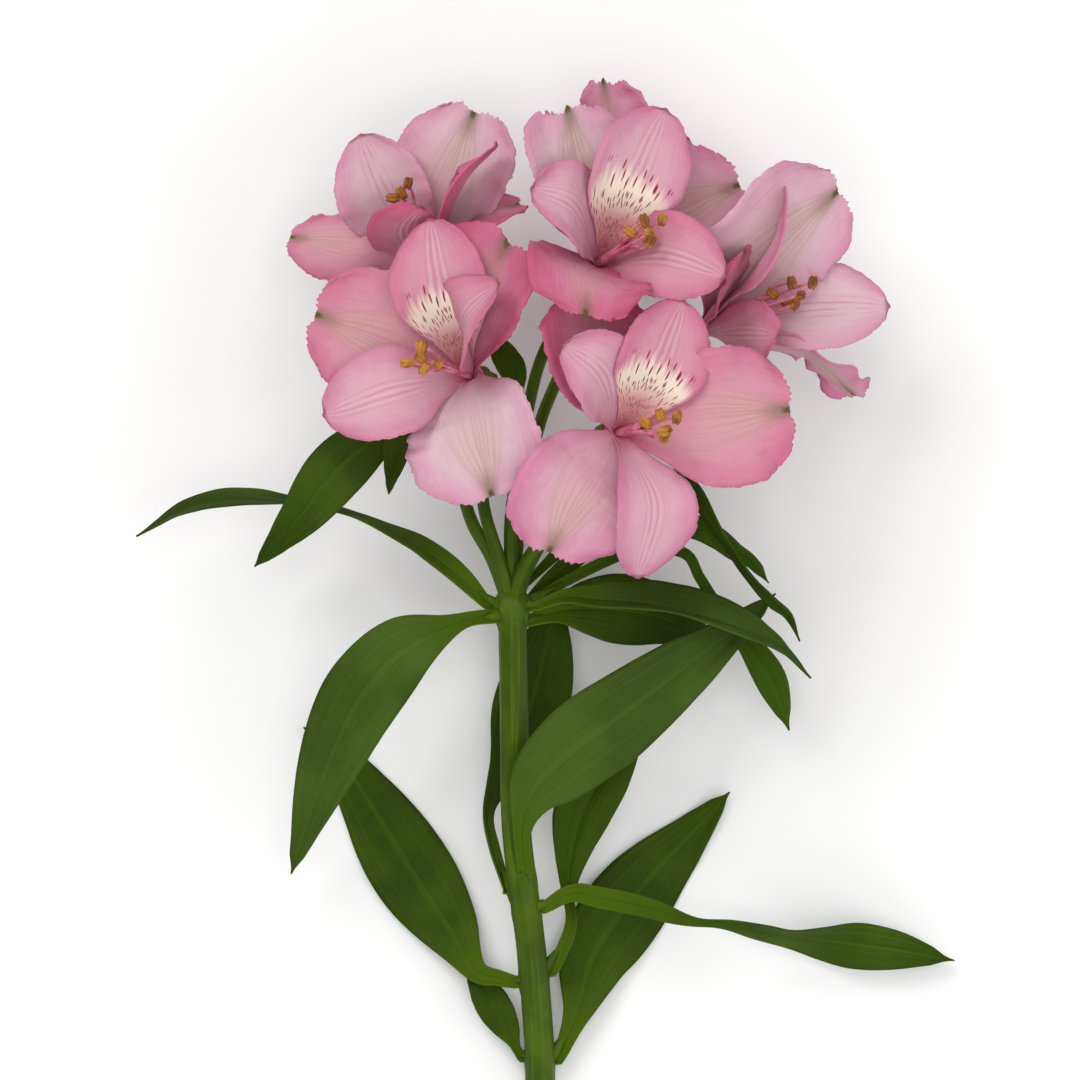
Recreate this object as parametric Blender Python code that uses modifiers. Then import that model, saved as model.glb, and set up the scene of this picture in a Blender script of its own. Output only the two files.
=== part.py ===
"""A cut alstroemeria stem with six open blooms, lying on its back on a table.

+X is to the right of the stem, +Y runs from the cut end to the blooms and +Z is up from the table.
Lengths are in millimetres until a mesh is made, and angles are in degrees.
"""

import math

import bmesh
import bpy
from mathutils import Matrix, Vector
from mathutils.geometry import interpolate_bezier

MM = 0.001
GAP = 0.3  # between pieces that touch on the plant
TABLE = 0.0

# The stem, from the cut end to the whorl where the flower stalks part.
STEM_LINE = (
    (-2.0, -128.6, 3.5),
    (-2.3, -115.0, 7.4),
    (-4.2, -91.0, 13.2),
    (-8.0, -60.0, 20.6),
    (-8.6, -28.0, 28.3),
    (-9.0, -4.0, 34.0),
)
STEM_RADIUS = 3.8
STEM_TOP_RADIUS = 3.5
WHORL_RADIUS = 4.6
STALK_RADIUS = 1.5
OVARY_LENGTH = 8.5
OVARY_RADIUS = 3.1

# A bloom's tepals stand on a small round seat on top of the ovary.
SEAT_RADIUS = 2.6
SEAT_HEIGHT = 1.6
PETAL_THICKNESS = 0.7
LEAF_THICKNESS = 0.8

# Half widths along a blade, as shares of its largest, at even steps from base to tip.
LEAF_SHAPE = (0.14, 0.30, 0.72, 0.97, 0.95, 0.72, 0.40, 0.05)
BROAD_SHAPE = (0.18, 0.24, 0.82, 1.00, 0.90, 0.68, 0.37, 0.05)
STRAP_SHAPE = (0.24, 0.70, 0.80, 0.70, 0.90, 1.00, 0.70, 0.08)
WAISTED_SHAPE = (0.20, 0.38, 0.34, 0.16, 0.74, 1.00, 0.72, 0.05)
NECKED_SHAPE = (0.26, 0.34, 0.36, 0.33, 0.32, 0.62, 1.00, 0.08)
PETIOLE_SHAPE = (0.20, 0.22, 0.20, 0.55, 0.95, 0.98, 0.68, 0.05)
OUTER_SHAPE = (0.16, 0.24, 0.48, 0.78, 0.96, 1.00, 0.90, 0.56)
WIDE_SHAPE = (0.16, 0.26, 0.54, 0.88, 1.02, 1.02, 0.90, 0.52)
FAN_SHAPE = (0.16, 0.24, 0.48, 0.78, 0.96, 1.05, 1.05, 0.86)
INNER_SHAPE = (0.16, 0.26, 0.48, 0.80, 0.98, 0.94, 0.62, 0.06)
SPOTTED_SHAPE = (0.16, 0.24, 0.42, 0.74, 0.98, 0.96, 0.60, 0.05)

# What each kind of tepal has: its outline, its cells along and across, and how far its lobes pass its tip.
TEPALS = {
    "outer": {"shape": OUTER_SHAPE, "rows": 6, "columns": 4, "lobe": 1.7},
    "wide": {"shape": WIDE_SHAPE, "rows": 6, "columns": 4, "lobe": 1.7},
    "fan": {"shape": FAN_SHAPE, "rows": 6, "columns": 4, "lobe": 2.2},
    "inner": {"shape": INNER_SHAPE, "rows": 5, "columns": 4, "lobe": 0.0},
    "spotted": {"shape": SPOTTED_SHAPE, "rows": 5, "columns": 4, "lobe": 0.0},
}

# Each bloom: its seat, the way it faces, the middle of its anthers, and its tepals. A tepal is its kind,
# a point half way along and its tip, both from the seat, its twist at base and tip, its width and its cup.
BLOOMS = {
    "a": {
        "seat": (-29.0, 78.8, 32.0),
        "facing": (-0.25, 0.55, 0.80),
        "anthers": (-7.5, 20.0, 26.0),
        "tepals": (
            ("inner", (-11.0, 18.5, 14.0), (-17.7, 34.5, 19.0), (-15, -15, -5), 24, 30),
            ("outer", (5.0, 24.0, 13.0), (10.2, 39.5, 12.0), (0, 25), 30, 30),
            ("outer", (-17.5, 7.5, 12.0), (-35.0, 9.8, -2.0), (-20, -11, -11), 20, -70),
            ("spotted", (7.5, 21.0, 28.0), (16.5, 31.5, 22.0), (20, -40, -50), 18, 35),
            ("spotted", (-6.0, 9.5, 25.0), (-2.0, 15.5, 35.0), (-20, -54), 20, 30),
            ("outer", (12.0, 14.0, 17.0), (21.0, 17.0, 15.0), (-20, -25), 24, 30),
        ),
    },
    "b": {
        "seat": (11.2, 80.5, 46.0),
        "facing": (0.41, 0.29, 0.86),
        "anthers": (15.0, 8.7, 29.5),
        "tepals": (
            ("spotted", (9.0, 18.5, 17.0), (18.0, 38.7, 11.0), (0, 0), 25, 25),
            ("outer", (19.0, 12.5, 5.0), (35.6, 20.3, -3.0), (0, 12), 28, 18),
            ("inner", (17.0, 1.8, 21.0), (32.5, -3.2, 20.0), (0, 30), 22, 25),
            ("outer", (-2.0, -3.0, 29.0), (-2.2, -12.5, 38.0), (14, 20), 31, 15),
            ("spotted", (-5.0, 14.0, 24.0), (-15.5, 17.8, 31.0), (0, 0), 22, 25),
            ("outer", (-3.2, 22.0, 15.0), (-6.5, 38.5, 12.0), (0, 0), 30, 25),
        ),
    },
    "c": {
        "seat": (38.0, 66.0, 27.0),
        "facing": (0.62, 0.13, 0.77),
        "anthers": (26.0, 8.7, 28.0),
        "tepals": (
            ("wide", (16.0, 18.5, 24.3), (31.6, 33.6, 21.8), (0, 0), 34, 22),
            ("inner", (26.0, 4.5, 15.0), (47.5, 5.0, 13.0), (-15, -10, 10), 23, 25),
            ("outer", (26.0, -7.0, 12.0), (39.0, -16.5, -2.0), (30, 98, 92), 15, -20),
            ("inner", (13.0, -2.0, 23.0), (19.0, -3.0, 31.0), (0, -50, -64), 17, 25),
            ("outer", (7.5, 10.0, 20.0), (10.5, 17.5, 27.5), (0, 0), 22, 30),
            ("spotted", (17.0, 19.0, 24.0), (22.5, 37.5, 24.0), (30, 44, 48), 20, 20),
        ),
    },
    "d": {
        "seat": (-18.0, 53.0, 50.0),
        "facing": (-0.43, 0.12, 0.90),
        "anthers": (-14.5, 4.5, 28.0),
        "tepals": (
            ("spotted", (-8.0, 19.5, 18.0), (-11.2, 38.7, 15.0), (15, 15, 10), 24, 25),
            ("spotted", (-2.5, 13.5, 24.0), (6.2, 22.0, 31.0), (-28, -28), 22, 30),
            ("fan", (1.5, 19.0, 16.0), (7.7, 31.8, 17.0), (0, 0), 29, 25),
            ("outer", (-1.0, -12.0, 18.0), (4.0, -28.7, 20.0), (0, 0), 35, 15),
            ("inner", (-20.0, -4.0, 17.0), (-37.5, -10.0, 14.0), (-15, -10, 0), 23, 20),
            ("outer", (-20.0, 8.5, 11.0), (-38.5, 15.0, 7.0), (0, 0), 31, 20),
        ),
    },
    "e": {
        "seat": (16.0, 39.0, 55.0),
        "facing": (0.37, 0.03, 0.93),
        "anthers": (13.5, 1.5, 28.0),
        "tepals": (
            ("spotted", (10.5, 14.7, 17.0), (17.4, 32.4, 14.0), (0, 0), 24, 25),
            ("outer", (23.0, 3.0, 13.0), (42.5, 5.5, 8.0), (0, 0), 34, 15),
            ("inner", (10.0, -17.5, 17.0), (5.8, -36.0, 10.0), (0, 0), 21, 20),
            ("outer", (-8.0, -14.0, 17.0), (-15.5, -28.5, 14.0), (0, 0), 32, 15),
            ("spotted", (-3.0, 14.0, 23.0), (-12.4, 21.2, 29.0), (0, 0), 21, 30),
            ("outer", (-3.0, 17.0, 11.0), (-6.0, 33.0, 9.0), (0, 0), 30, 25),
        ),
    },
    "f": {
        "seat": (19.0, 90.0, 17.0),
        "facing": (0.28, 0.96, 0.0),
        "anthers": (6.5, 25.0, -1.0),
        "tepals": (
            ("outer", (-2.0, 21.0, 13.0), (-5.0, 37.6, 16.0), (0, 0), 27, 20),
            ("spotted", (9.0, 14.0, 9.0), (16.5, 24.0, 9.0), (0, 0), 22, 25),
            ("outer", (14.0, 11.0, -7.5), (24.0, 14.0, -14.5), (10, 45), 27, 12),
            ("inner", (1.0, 17.0, -11.0), (1.0, 30.0, -15.9), (0, 0), 22, 12),
            ("outer", (-9.0, 15.0, -3.0), (-17.7, 30.0, -6.0), (0, 0), 28, 20),
            ("spotted", (-8.0, 16.0, 9.0), (-14.0, 25.0, 13.0), (0, 0), 22, 25),
        ),
    },
}

# The stalk of each bloom, from the whorl to the foot of its ovary.
STALKS = {
    "a": ((-14.0, 8.0, 35.0), (-20.0, 19.5, 34.0), (-25.0, 42.0, 30.0), (-26.5, 62.0, 26.0)),
    "b": ((-9.3, 8.0, 36.0), (-8.8, 22.5, 37.0), (-3.5, 52.0, 36.0), (2.0, 66.0, 36.0)),
    "c": ((-4.0, 8.0, 33.0), (8.0, 28.0, 29.0), (23.0, 52.0, 22.0)),
    "d": ((-12.0, 7.0, 38.0), (-16.2, 22.0, 40.0), (-15.5, 38.0, 40.0)),
    "e": ((-6.0, 6.0, 39.0), (2.0, 18.0, 42.0), (8.5, 30.0, 44.0)),
    "f": ((-8.0, 10.0, 31.0), (-2.0, 42.0, 24.0), (10.0, 68.0, 17.5)),
}

# Leaves on the stem. Each starts on the skin of the stem at a height in Y, on the side given by an angle
# round the stem, with 0 to the right and 90 to the sky. One that leaves the stem squarely starts nearer.
LEAVES = {
    "leaf_left_narrow": {
        "on": "stem", "at": -3.5, "side": 180, "width": 9.0, "shape": STRAP_SHAPE,
        "line": ((-22.0, 3.2, 35.0), (-29.5, 9.0, 35.0), (-35.2, 12.6, 34.0), (-48.7, 18.6, 31.0),
                 (-62.5, 21.8, 29.0), (-77.5, 22.9, 28.0), (-91.0, 20.7, 27.0), (-103.9, 13.4, 25.0)),
        "roll": (0, 45, 80, 96, 120, 125), "fold": 6,
    },
    "leaf_left_broad": {
        "on": "stem", "at": -7.0, "side": 160, "width": 20.0, "shape": BROAD_SHAPE,
        "line": ((-19.5, -7.2, 41.0), (-25.3, -9.3, 45.0), (-35.8, -14.5, 47.0), (-44.0, -23.0, 45.0),
                 (-50.3, -33.0, 41.0), (-57.5, -50.0, 32.0), (-65.0, -72.0, 20.0)),
        "roll": (0, 0, 0, 0), "fold": 8,
    },
    "leaf_low_left": {
        "on": "stem", "at": -99.0, "side": 180, "width": 21.5, "shape": LEAF_SHAPE,
        "line": ((-12.5, -99.0, 11.0), (-18.5, -97.0, 9.0), (-25.5, -86.0, 4.5), (-36.0, -70.5, 0.8),
                 (-45.5, -55.0, 0.25), (-54.5, -42.0, 0.8), (-62.5, -35.5, 3.0)),
        "roll": (0, 0, 0, 0), "fold": 1,
    },
    "leaf_foot_left": {
        "on": "stem", "at": -121.0, "side": 190, "width": 9.0, "shape": LEAF_SHAPE,
        "line": ((-9.5, -114.0, 6.5), (-13.5, -107.0, 6.5), (-17.5, -100.0, 6.0), (-21.0, -92.0, 5.0)),
        "roll": (0, 0, 0, 0), "fold": 8,
    },
    "leaf_behind_stem": {
        "on": "stem", "at": -76.0, "side": 200, "width": 19.0, "shape": PETIOLE_SHAPE,
        "line": ((-14.0, -66.0, 13.5), (-15.2, -56.0, 10.5), (-10.5, -45.0, 8.5), (-4.5, -30.0, 8.0),
                 (-0.5, -15.0, 9.0), (2.5, -2.0, 10.0)),
        "roll": (60, 40, 0, 0), "fold": 8,
    },
    "leaf_right_crossing": {
        "on": "stem", "at": -71.0, "side": 75, "width": 22.0, "shape": BROAD_SHAPE,
        "line": ((-6.5, -61.0, 27.5), (-3.0, -50.0, 30.5), (7.0, -40.0, 32.0), (18.5, -31.5, 32.0),
                 (33.0, -20.5, 31.0), (45.0, -11.5, 28.0), (57.5, -1.0, 24.0)),
        "roll": (0, 0, 0, 0), "fold": 6,
    },
    "leaf_right_under": {
        "on": "stem", "at": -97.0, "side": 0, "width": 15.0, "shape": PETIOLE_SHAPE,
        "line": ((5.8, -86.0, 12.5), (5.2, -77.0, 13.0), (6.2, -67.0, 14.0), (9.0, -56.0, 15.0),
                 (14.5, -46.5, 16.0), (19.5, -39.0, 16.5), (24.0, -32.0, 16.0)),
        "roll": (0, 0, 0, 0), "fold": 8,
    },
    "leaf_low_right": {
        "on": "stem", "at": -121.0, "side": 350, "width": 21.5, "shape": LEAF_SHAPE,
        "line": ((7.6, -108.0, 5.0), (12.5, -93.0, 2.2), (24.0, -76.5, 0.25), (36.0, -63.5, 0.3),
                 (46.5, -52.0, 3.0)),
        "roll": (0, 0, 0, 0), "fold": 1,
    },
    "leaf_right_low_long": {
        "on": "stem", "at": -82.0, "side": 20, "width": 14.0, "shape": WAISTED_SHAPE,
        "line": ((6.0, -77.0, 18.0), (13.0, -78.0, 19.5), (25.0, -80.5, 19.0), (37.0, -84.3, 17.0),
                 (46.5, -85.2, 15.0), (60.7, -88.0, 12.0), (74.5, -90.0, 9.0), (90.0, -92.3, 6.5),
                 (104.0, -95.0, 4.5)),
        "roll": (0, 0, 20, 60, 20, 0), "fold": 8,
    },
    "leaf_right_folded": {
        "on": "stem", "at": -4.0, "side": 20, "width": 14.0, "shape": LEAF_SHAPE,
        "line": ((4.0, -2.0, 38.0), (12.0, -2.5, 40.0), (24.0, -3.5, 41.0), (36.0, -6.0, 41.0),
                 (48.0, -9.8, 39.5), (58.0, -15.0, 37.0), (66.0, -22.2, 33.0)),
        "roll": (0, -55, -65, -60), "fold": 8,
    },
    "leaf_right_broad": {
        "on": "stem", "at": -8.0, "side": 350, "off": 0.05, "width": 18.0, "shape": LEAF_SHAPE,
        "line": ((4.5, -5.0, 29.0), (14.0, -4.5, 27.0), (25.0, -6.0, 23.5), (35.0, -9.5, 19.5),
                 (43.0, -14.0, 15.0)),
        "roll": (0, 0, 0, 0), "fold": 8,
    },
    "leaf_right_necked": {
        "on": "stem", "at": -3.0, "side": 322, "width": 8.0, "shape": NECKED_SHAPE,
        "line": ((8.0, 4.0, 30.0), (22.0, 10.0, 31.5), (34.0, 9.3, 29.5), (38.2, 3.1, 26.5),
                 (42.6, -3.8, 24.5), (47.2, -9.9, 22.5), (51.5, -15.0, 21.5), (55.6, -21.2, 20.5),
                 (58.6, -28.2, 19.0), (61.2, -35.8, 17.0)),
        "roll": (0, 0, 0, 0), "fold": 8,
    },
    "leaf_right_arched": {
        "on": "stem", "at": -2.0, "side": 262, "width": 9.0, "shape": LEAF_SHAPE,
        "line": ((1.0, 8.0, 25.5), (14.0, 21.0, 32.0), (28.0, 27.5, 38.0), (35.4, 26.0, 41.0),
                 (41.3, 17.2, 42.0), (49.6, 4.6, 41.0), (56.0, -2.6, 39.0), (60.2, -6.4, 37.0),
                 (63.2, -12.9, 34.0)),
        "roll": (0, 40, 65, 65), "fold": 8,
    },
    "leaf_right_small": {
        "on": "stem", "at": -5.5, "side": 292, "width": 6.0, "shape": STRAP_SHAPE,
        "line": ((7.0, 8.0, 25.5), (20.0, 17.5, 29.0), (35.4, 16.2, 33.0), (42.3, 13.2, 33.0),
                 (47.0, 9.5, 33.0), (51.0, 7.0, 32.0), (55.5, 1.7, 30.0)),
        "roll": (0, 0, 0, 40), "fold": 8,
    },
    "bract_left_broad": {
        "on": "a", "at": 0.55, "side": 200, "width": 15.0, "shape": LEAF_SHAPE,
        "line": ((-35.0, 42.0, 32.0), (-43.0, 38.5, 33.0), (-53.0, 30.0, 36.0), (-62.0, 18.5, 35.5),
                 (-73.8, 5.8, 30.0)),
        "roll": (0, 0, 0, 0), "fold": 8,
    },
    "bract_left_small": {
        "on": "a", "at": 0.52, "side": 140, "width": 9.0, "shape": LEAF_SHAPE,
        "line": ((-32.0, 45.0, 36.0), (-37.0, 38.0, 37.0), (-40.0, 24.0, 33.0)),
        "roll": (0, 0, 0, 0), "fold": 8,
    },
    "bract_middle": {
        "on": "b", "at": 0.62, "side": 150, "width": 7.0, "shape": LEAF_SHAPE,
        "line": ((-8.0, 53.0, 40.0), (-10.5, 58.0, 41.0), (-16.0, 66.0, 40.0)),
        "roll": (0, 0, 0, 0), "fold": 8,
    },
}
LEAF_ROWS = 12
LEAF_COLUMNS = 2

ANTHER_COUNT = 6
ANTHER_LENGTH = 4.2
ANTHER_RADIUS = 1.2
ANTHER_SPREAD = 3.6
FILAMENT_RADIUS = 0.55
FILAMENT_STEPS = 4

# The colour and the roughness of each kind of piece.
PETAL = ((0.80, 0.38, 0.50, 1.0), 0.55)
LEAF = ((0.10, 0.18, 0.03, 1.0), 0.50)
STEM = ((0.15, 0.24, 0.04, 1.0), 0.50)
ANTHER = ((0.45, 0.22, 0.03, 1.0), 0.70)


def clear_scene():
    """Removes what the startup file holds."""
    for obj in list(bpy.data.objects):
        bpy.data.objects.remove(obj)


def material(name, colour, roughness):
    """A plain finish in one colour."""
    made = bpy.data.materials.new(name)
    made.use_nodes = True
    shader = made.node_tree.nodes["Principled BSDF"]
    shader.inputs["Base Color"].default_value = colour
    shader.inputs["Roughness"].default_value = roughness
    shader.inputs["Metallic"].default_value = 0.0
    return made


def collection(name):
    """A new collection in the scene."""
    made = bpy.data.collections.new(name)
    bpy.context.scene.collection.children.link(made)
    return made


def spline(points, share):
    """The place at a share of the way along a smooth curve through the points."""
    last = len(points) - 1
    reach = min(max(share, 0.0), 1.0) * last
    i = min(int(reach), last - 1)
    t = reach - i
    p1, p2 = points[i], points[i + 1]
    p0 = points[i - 1] if i > 0 else 2 * p1 - p2
    p3 = points[i + 2] if i + 2 <= last else 2 * p2 - p1
    bend = 2 * p0 - 5 * p1 + 4 * p2 - p3
    turn = 3 * p1 - p0 - 3 * p2 + p3
    return 0.5 * (2 * p1 + (p2 - p0) * t + bend * t * t + turn * t**3)


def even_line(points, count):
    """Points an even distance apart along the smooth curve through the given ones, count + 1 of them."""
    points = [Vector(p) for p in points]
    fine = 24 * (len(points) - 1)
    dense = [spline(points, k / fine) for k in range(fine + 1)]
    reach = [0.0]
    for a, b in zip(dense, dense[1:]):
        reach.append(reach[-1] + (b - a).length)
    line, k = [], 0
    for step in range(count + 1):
        goal = reach[-1] * step / count
        while k < fine - 1 and reach[k + 1] < goal:
            k += 1
        span = max(reach[k + 1] - reach[k], 1e-9)
        line.append(dense[k].lerp(dense[k + 1], min((goal - reach[k]) / span, 1.0)))
    return line


def tangents(line):
    """The way the line runs at each of its points."""
    ends = [line[0]] + list(line) + [line[-1]]
    return [(ends[i + 2] - ends[i]).normalized() for i in range(len(line))]


def blade_surface(line, side_at, half_width, shape, rolls, cup, fold, wave, lobe, columns):
    """An open sheet along a midrib: rows of points from base to tip, each from edge to edge.

    side_at gives the way across the blade for a tangent. cup bends the whole width into an arc, fold lifts
    both halves from the midrib, wave ripples the margins, and lobe pushes both sides past the tip.
    """
    rows = len(line) - 1
    runs = tangents(line)
    grid = []
    for row, (centre, run) in enumerate(zip(line, runs)):
        share = row / rows
        across = side_at(run)
        across = (across - across.dot(run) * run).normalized()
        roll = math.radians(spline(rolls, share))
        face = run.cross(across)
        across = across * math.cos(roll) + face * math.sin(roll)
        face = run.cross(across)
        half = half_width * spline(shape, share)
        arc = math.radians(cup) * math.sin(math.pi * min(share + 0.15, 1.0) * 0.75)
        points = []
        for column in range(columns + 1):
            v = 2 * column / columns - 1
            bend = arc * v
            out = half * (math.sin(bend) / arc if abs(arc) > 1e-3 else v)
            lift = half * ((1 - math.cos(bend)) / arc if abs(arc) > 1e-3 else 0.0)
            lift += half * abs(v) * math.tan(math.radians(fold))
            lift += wave * v * v * math.sin(2 * math.pi * (1.6 * share + 0.25 * v)) * share
            ahead = lobe * math.sin(math.pi * abs(v) ** 0.8) * max(share - 0.6, 0.0) * 2.5
            points.append(centre + across * out + face * lift + run * ahead)
        grid.append(points)
    return grid


def sheet_object(name, grid, thickness, into):
    """A solid blade: a grid laid on the surface's points, split into triangles and given its thickness."""
    rows, columns = len(grid) - 1, len(grid[0]) - 1
    bm = bmesh.new()
    bmesh.ops.create_grid(bm, x_segments=columns, y_segments=rows, size=1.0)
    bm.verts.ensure_lookup_table()
    ordered = sorted(bm.verts, key=lambda vert: (round(vert.co.y, 4), round(vert.co.x, 4)))
    for vert, point in zip(ordered, (p for points in grid for p in points)):
        vert.co = point * MM
    bmesh.ops.triangulate(bm, faces=bm.faces, quad_method="SHORT_EDGE")
    mesh = bpy.data.meshes.new(name)
    bm.to_mesh(mesh)
    bm.free()
    obj = bpy.data.objects.new(name, mesh)
    into.objects.link(obj)
    wall = obj.modifiers.new("Thickness", "SOLIDIFY")
    wall.thickness = thickness * MM
    wall.offset = 0.0
    return obj


def fixed(obj):
    """The object with its curve or modifiers made into a plain closed mesh."""
    graph = bpy.context.evaluated_depsgraph_get()
    mesh = bpy.data.meshes.new_from_object(obj.evaluated_get(graph))
    mesh.transform(obj.matrix_world)
    bm = bmesh.new()
    bm.from_mesh(mesh)
    bmesh.ops.remove_doubles(bm, verts=bm.verts, dist=0.00001)
    bmesh.ops.recalc_face_normals(bm, faces=bm.faces)
    bm.to_mesh(mesh)
    bm.free()
    name, home = obj.name, obj.users_collection[0]
    bpy.data.objects.remove(obj)
    made = bpy.data.objects.new(name, mesh)
    home.objects.link(made)
    return made


def tube(name, line, radii, sides, into):
    """A round stem along a line, with a radius at each point."""
    curve = bpy.data.curves.new(name, "CURVE")
    curve.dimensions = "3D"
    curve.bevel_depth = MM
    curve.bevel_resolution = sides // 2 - 2
    curve.use_fill_caps = True
    run = curve.splines.new("POLY")
    run.points.add(len(line) - 1)
    for point, place, radius in zip(run.points, line, radii):
        point.co = (*(place * MM), 1.0)
        point.radius = radius
    obj = bpy.data.objects.new(name, curve)
    into.objects.link(obj)
    bpy.context.view_layer.update()
    return fixed(obj)


def egg(name, centre, run, length, radius, segments, rings, into):
    """A long round body that lies along run, for an anther or a knot on the stem."""
    bm = bmesh.new()
    bmesh.ops.create_uvsphere(bm, u_segments=segments, v_segments=rings, radius=MM)
    place = Matrix.Translation(centre * MM) @ run.to_track_quat("Z", "Y").to_matrix().to_4x4()
    bmesh.ops.scale(bm, vec=(radius, radius, length / 2), verts=bm.verts)
    bmesh.ops.transform(bm, matrix=place, verts=bm.verts)
    mesh = bpy.data.meshes.new(name)
    bm.to_mesh(mesh)
    bm.free()
    obj = bpy.data.objects.new(name, mesh)
    into.objects.link(obj)
    return obj


def disc(name, centre, run, radii, height, into):
    """A short round block with its foot at centre."""
    bm = bmesh.new()
    bmesh.ops.create_cone(
        bm, cap_ends=True, segments=10, radius1=radii[0] * MM, radius2=radii[1] * MM, depth=height * MM
    )
    turn = run.to_track_quat("Z", "Y").to_matrix().to_4x4()
    middle = centre + run * height / 2
    bmesh.ops.transform(bm, matrix=Matrix.Translation(middle * MM) @ turn, verts=bm.verts)
    mesh = bpy.data.meshes.new(name)
    bm.to_mesh(mesh)
    bm.free()
    obj = bpy.data.objects.new(name, mesh)
    into.objects.link(obj)
    return obj


def joined(name, pieces, finish, plant):
    """One body of the pieces, named and finished, with its lowest points pressed flat on the table."""
    body = pieces[0]
    if len(pieces) > 1:
        rest = bpy.data.collections.new(name + "_pieces")
        bpy.context.scene.collection.children.link(rest)
        for piece in pieces[1:]:
            for home in list(piece.users_collection):
                home.objects.unlink(piece)
            rest.objects.link(piece)
        union = body.modifiers.new("Join", "BOOLEAN")
        union.operation = "UNION"
        union.operand_type = "COLLECTION"
        union.collection = rest
    bpy.context.view_layer.update()
    body = fixed(body)
    for piece in pieces[1:]:
        bpy.data.objects.remove(piece)
    for home in list(body.users_collection):
        home.objects.unlink(body)
    plant.objects.link(body)
    body.name = name
    body.data.name = name
    body.data.materials.clear()
    body.data.materials.append(material(name, *finish))
    keep_largest(body.data)
    for vert in body.data.vertices:
        vert.co.z = max(vert.co.z, TABLE)
    body.data.shade_smooth()
    body.data.set_sharp_from_angle(angle=math.radians(40))
    return body


def keep_largest(mesh):
    """Drops the crumbs that a union of crossing blades can leave beside the body."""
    bm = bmesh.new()
    bm.from_mesh(mesh)
    left, bodies = set(bm.verts), []
    while left:
        edge = [left.pop()]
        found = set(edge)
        while edge:
            vert = edge.pop()
            near = {link.other_vert(vert) for link in vert.link_edges} - found
            found |= near
            edge.extend(near)
        left -= found
        bodies.append(found)
    bodies.sort(key=len)
    for crumb in bodies[:-1]:
        bmesh.ops.delete(bm, geom=list(crumb), context="VERTS")
    bm.to_mesh(mesh)
    bm.free()


def stem_axis(height):
    """A point on the stem's axis at a height in Y, and the way the stem runs there."""
    line = even_line(STEM_LINE, 60)
    near = min(range(len(line)), key=lambda i: abs(line[i].y - height))
    return line[near], tangents(line)[near]


def stalk_line(name):
    """The middle of a bloom's stalk, from inside the whorl to inside the foot of its ovary."""
    bloom = BLOOMS[name]
    facing = Vector(bloom["facing"]).normalized()
    foot = Vector(bloom["seat"]) - facing * (OVARY_LENGTH + GAP)
    points = [Vector(STEM_LINE[-1]), *(Vector(p) for p in STALKS[name]), foot, foot + facing * 2.0]
    return even_line(points, 12)


def ovary(name, into):
    """The swelling under a bloom, widest just under the tepals."""
    bloom = BLOOMS[name]
    facing = Vector(bloom["facing"]).normalized()
    top = Vector(bloom["seat"]) - facing * GAP
    profile = ((0.0, 0.50), (0.30, 0.75), (0.65, 1.0), (0.90, 0.95), (1.0, 0.80))
    line = [top - facing * OVARY_LENGTH * (1 - step) for step, _ in profile]
    return tube("ovary", line, [OVARY_RADIUS * size for _, size in profile], 8, into)


def build_stem(plant, bench):
    """The stem with its whorl, its stalks and their ovaries: one green body."""
    line = even_line(STEM_LINE, 14)
    radii = [STEM_RADIUS + (STEM_TOP_RADIUS - STEM_RADIUS) * k / 14 for k in range(15)]
    pieces = [tube("stem", line, radii, 10, bench)]
    pieces.append(egg("whorl", line[-1], tangents(line)[-1], 9.0, WHORL_RADIUS, 10, 6, bench))
    for name in STALKS:
        stalk = stalk_line(name)
        pieces.append(tube("stalk", stalk, [STALK_RADIUS] * len(stalk), 6, bench))
        pieces.append(ovary(name, bench))
    return joined("stem", pieces, STEM, plant)


def leaf_start(spec):
    """Where a leaf leaves its stem: a point just off the skin."""
    if spec["on"] == "stem":
        centre, run = stem_axis(spec["at"])
        near_top = spec["at"] > STEM_LINE[-1][1] - 2.5
        radius = WHORL_RADIUS if near_top else STEM_RADIUS
    else:
        line = stalk_line(spec["on"])
        index = round(spec["at"] * (len(line) - 1))
        centre, run = line[index], tangents(line)[index]
        radius = STALK_RADIUS
    right = run.cross(Vector((0, 0, 1))).normalized()
    up = right.cross(run)
    angle = math.radians(spec["side"])
    off = spec.get("off", GAP + LEAF_THICKNESS)
    return centre + (right * math.cos(angle) + up * math.sin(angle)) * (radius + off)


def build_leaf(name, spec, plant, bench):
    """One leaf or bract, from the skin of its stem to its tip."""
    line = even_line((leaf_start(spec), *spec["line"]), LEAF_ROWS)
    up = Vector((0, 0, 1))
    grid = blade_surface(
        line, lambda run: up.cross(run), spec["width"] / 2, spec["shape"], spec["roll"],
        0, spec["fold"], 0.8, 0.0, LEAF_COLUMNS,
    )
    blade = sheet_object(name, grid, LEAF_THICKNESS, bench)
    return joined(name, [blade], LEAF, plant)


def tepal_line(seat, facing, via, tip, rows):
    """The midrib of a tepal: up out of the throat, then out to its tip."""
    side = facing.cross(tip).normalized()
    away = side.cross(facing)
    start = seat + away * SEAT_RADIUS * 0.6 + facing * 0.3
    throat = start + facing * 5.0 + away * 1.2
    return even_line((start, throat, seat + via, seat + tip), rows)


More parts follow.
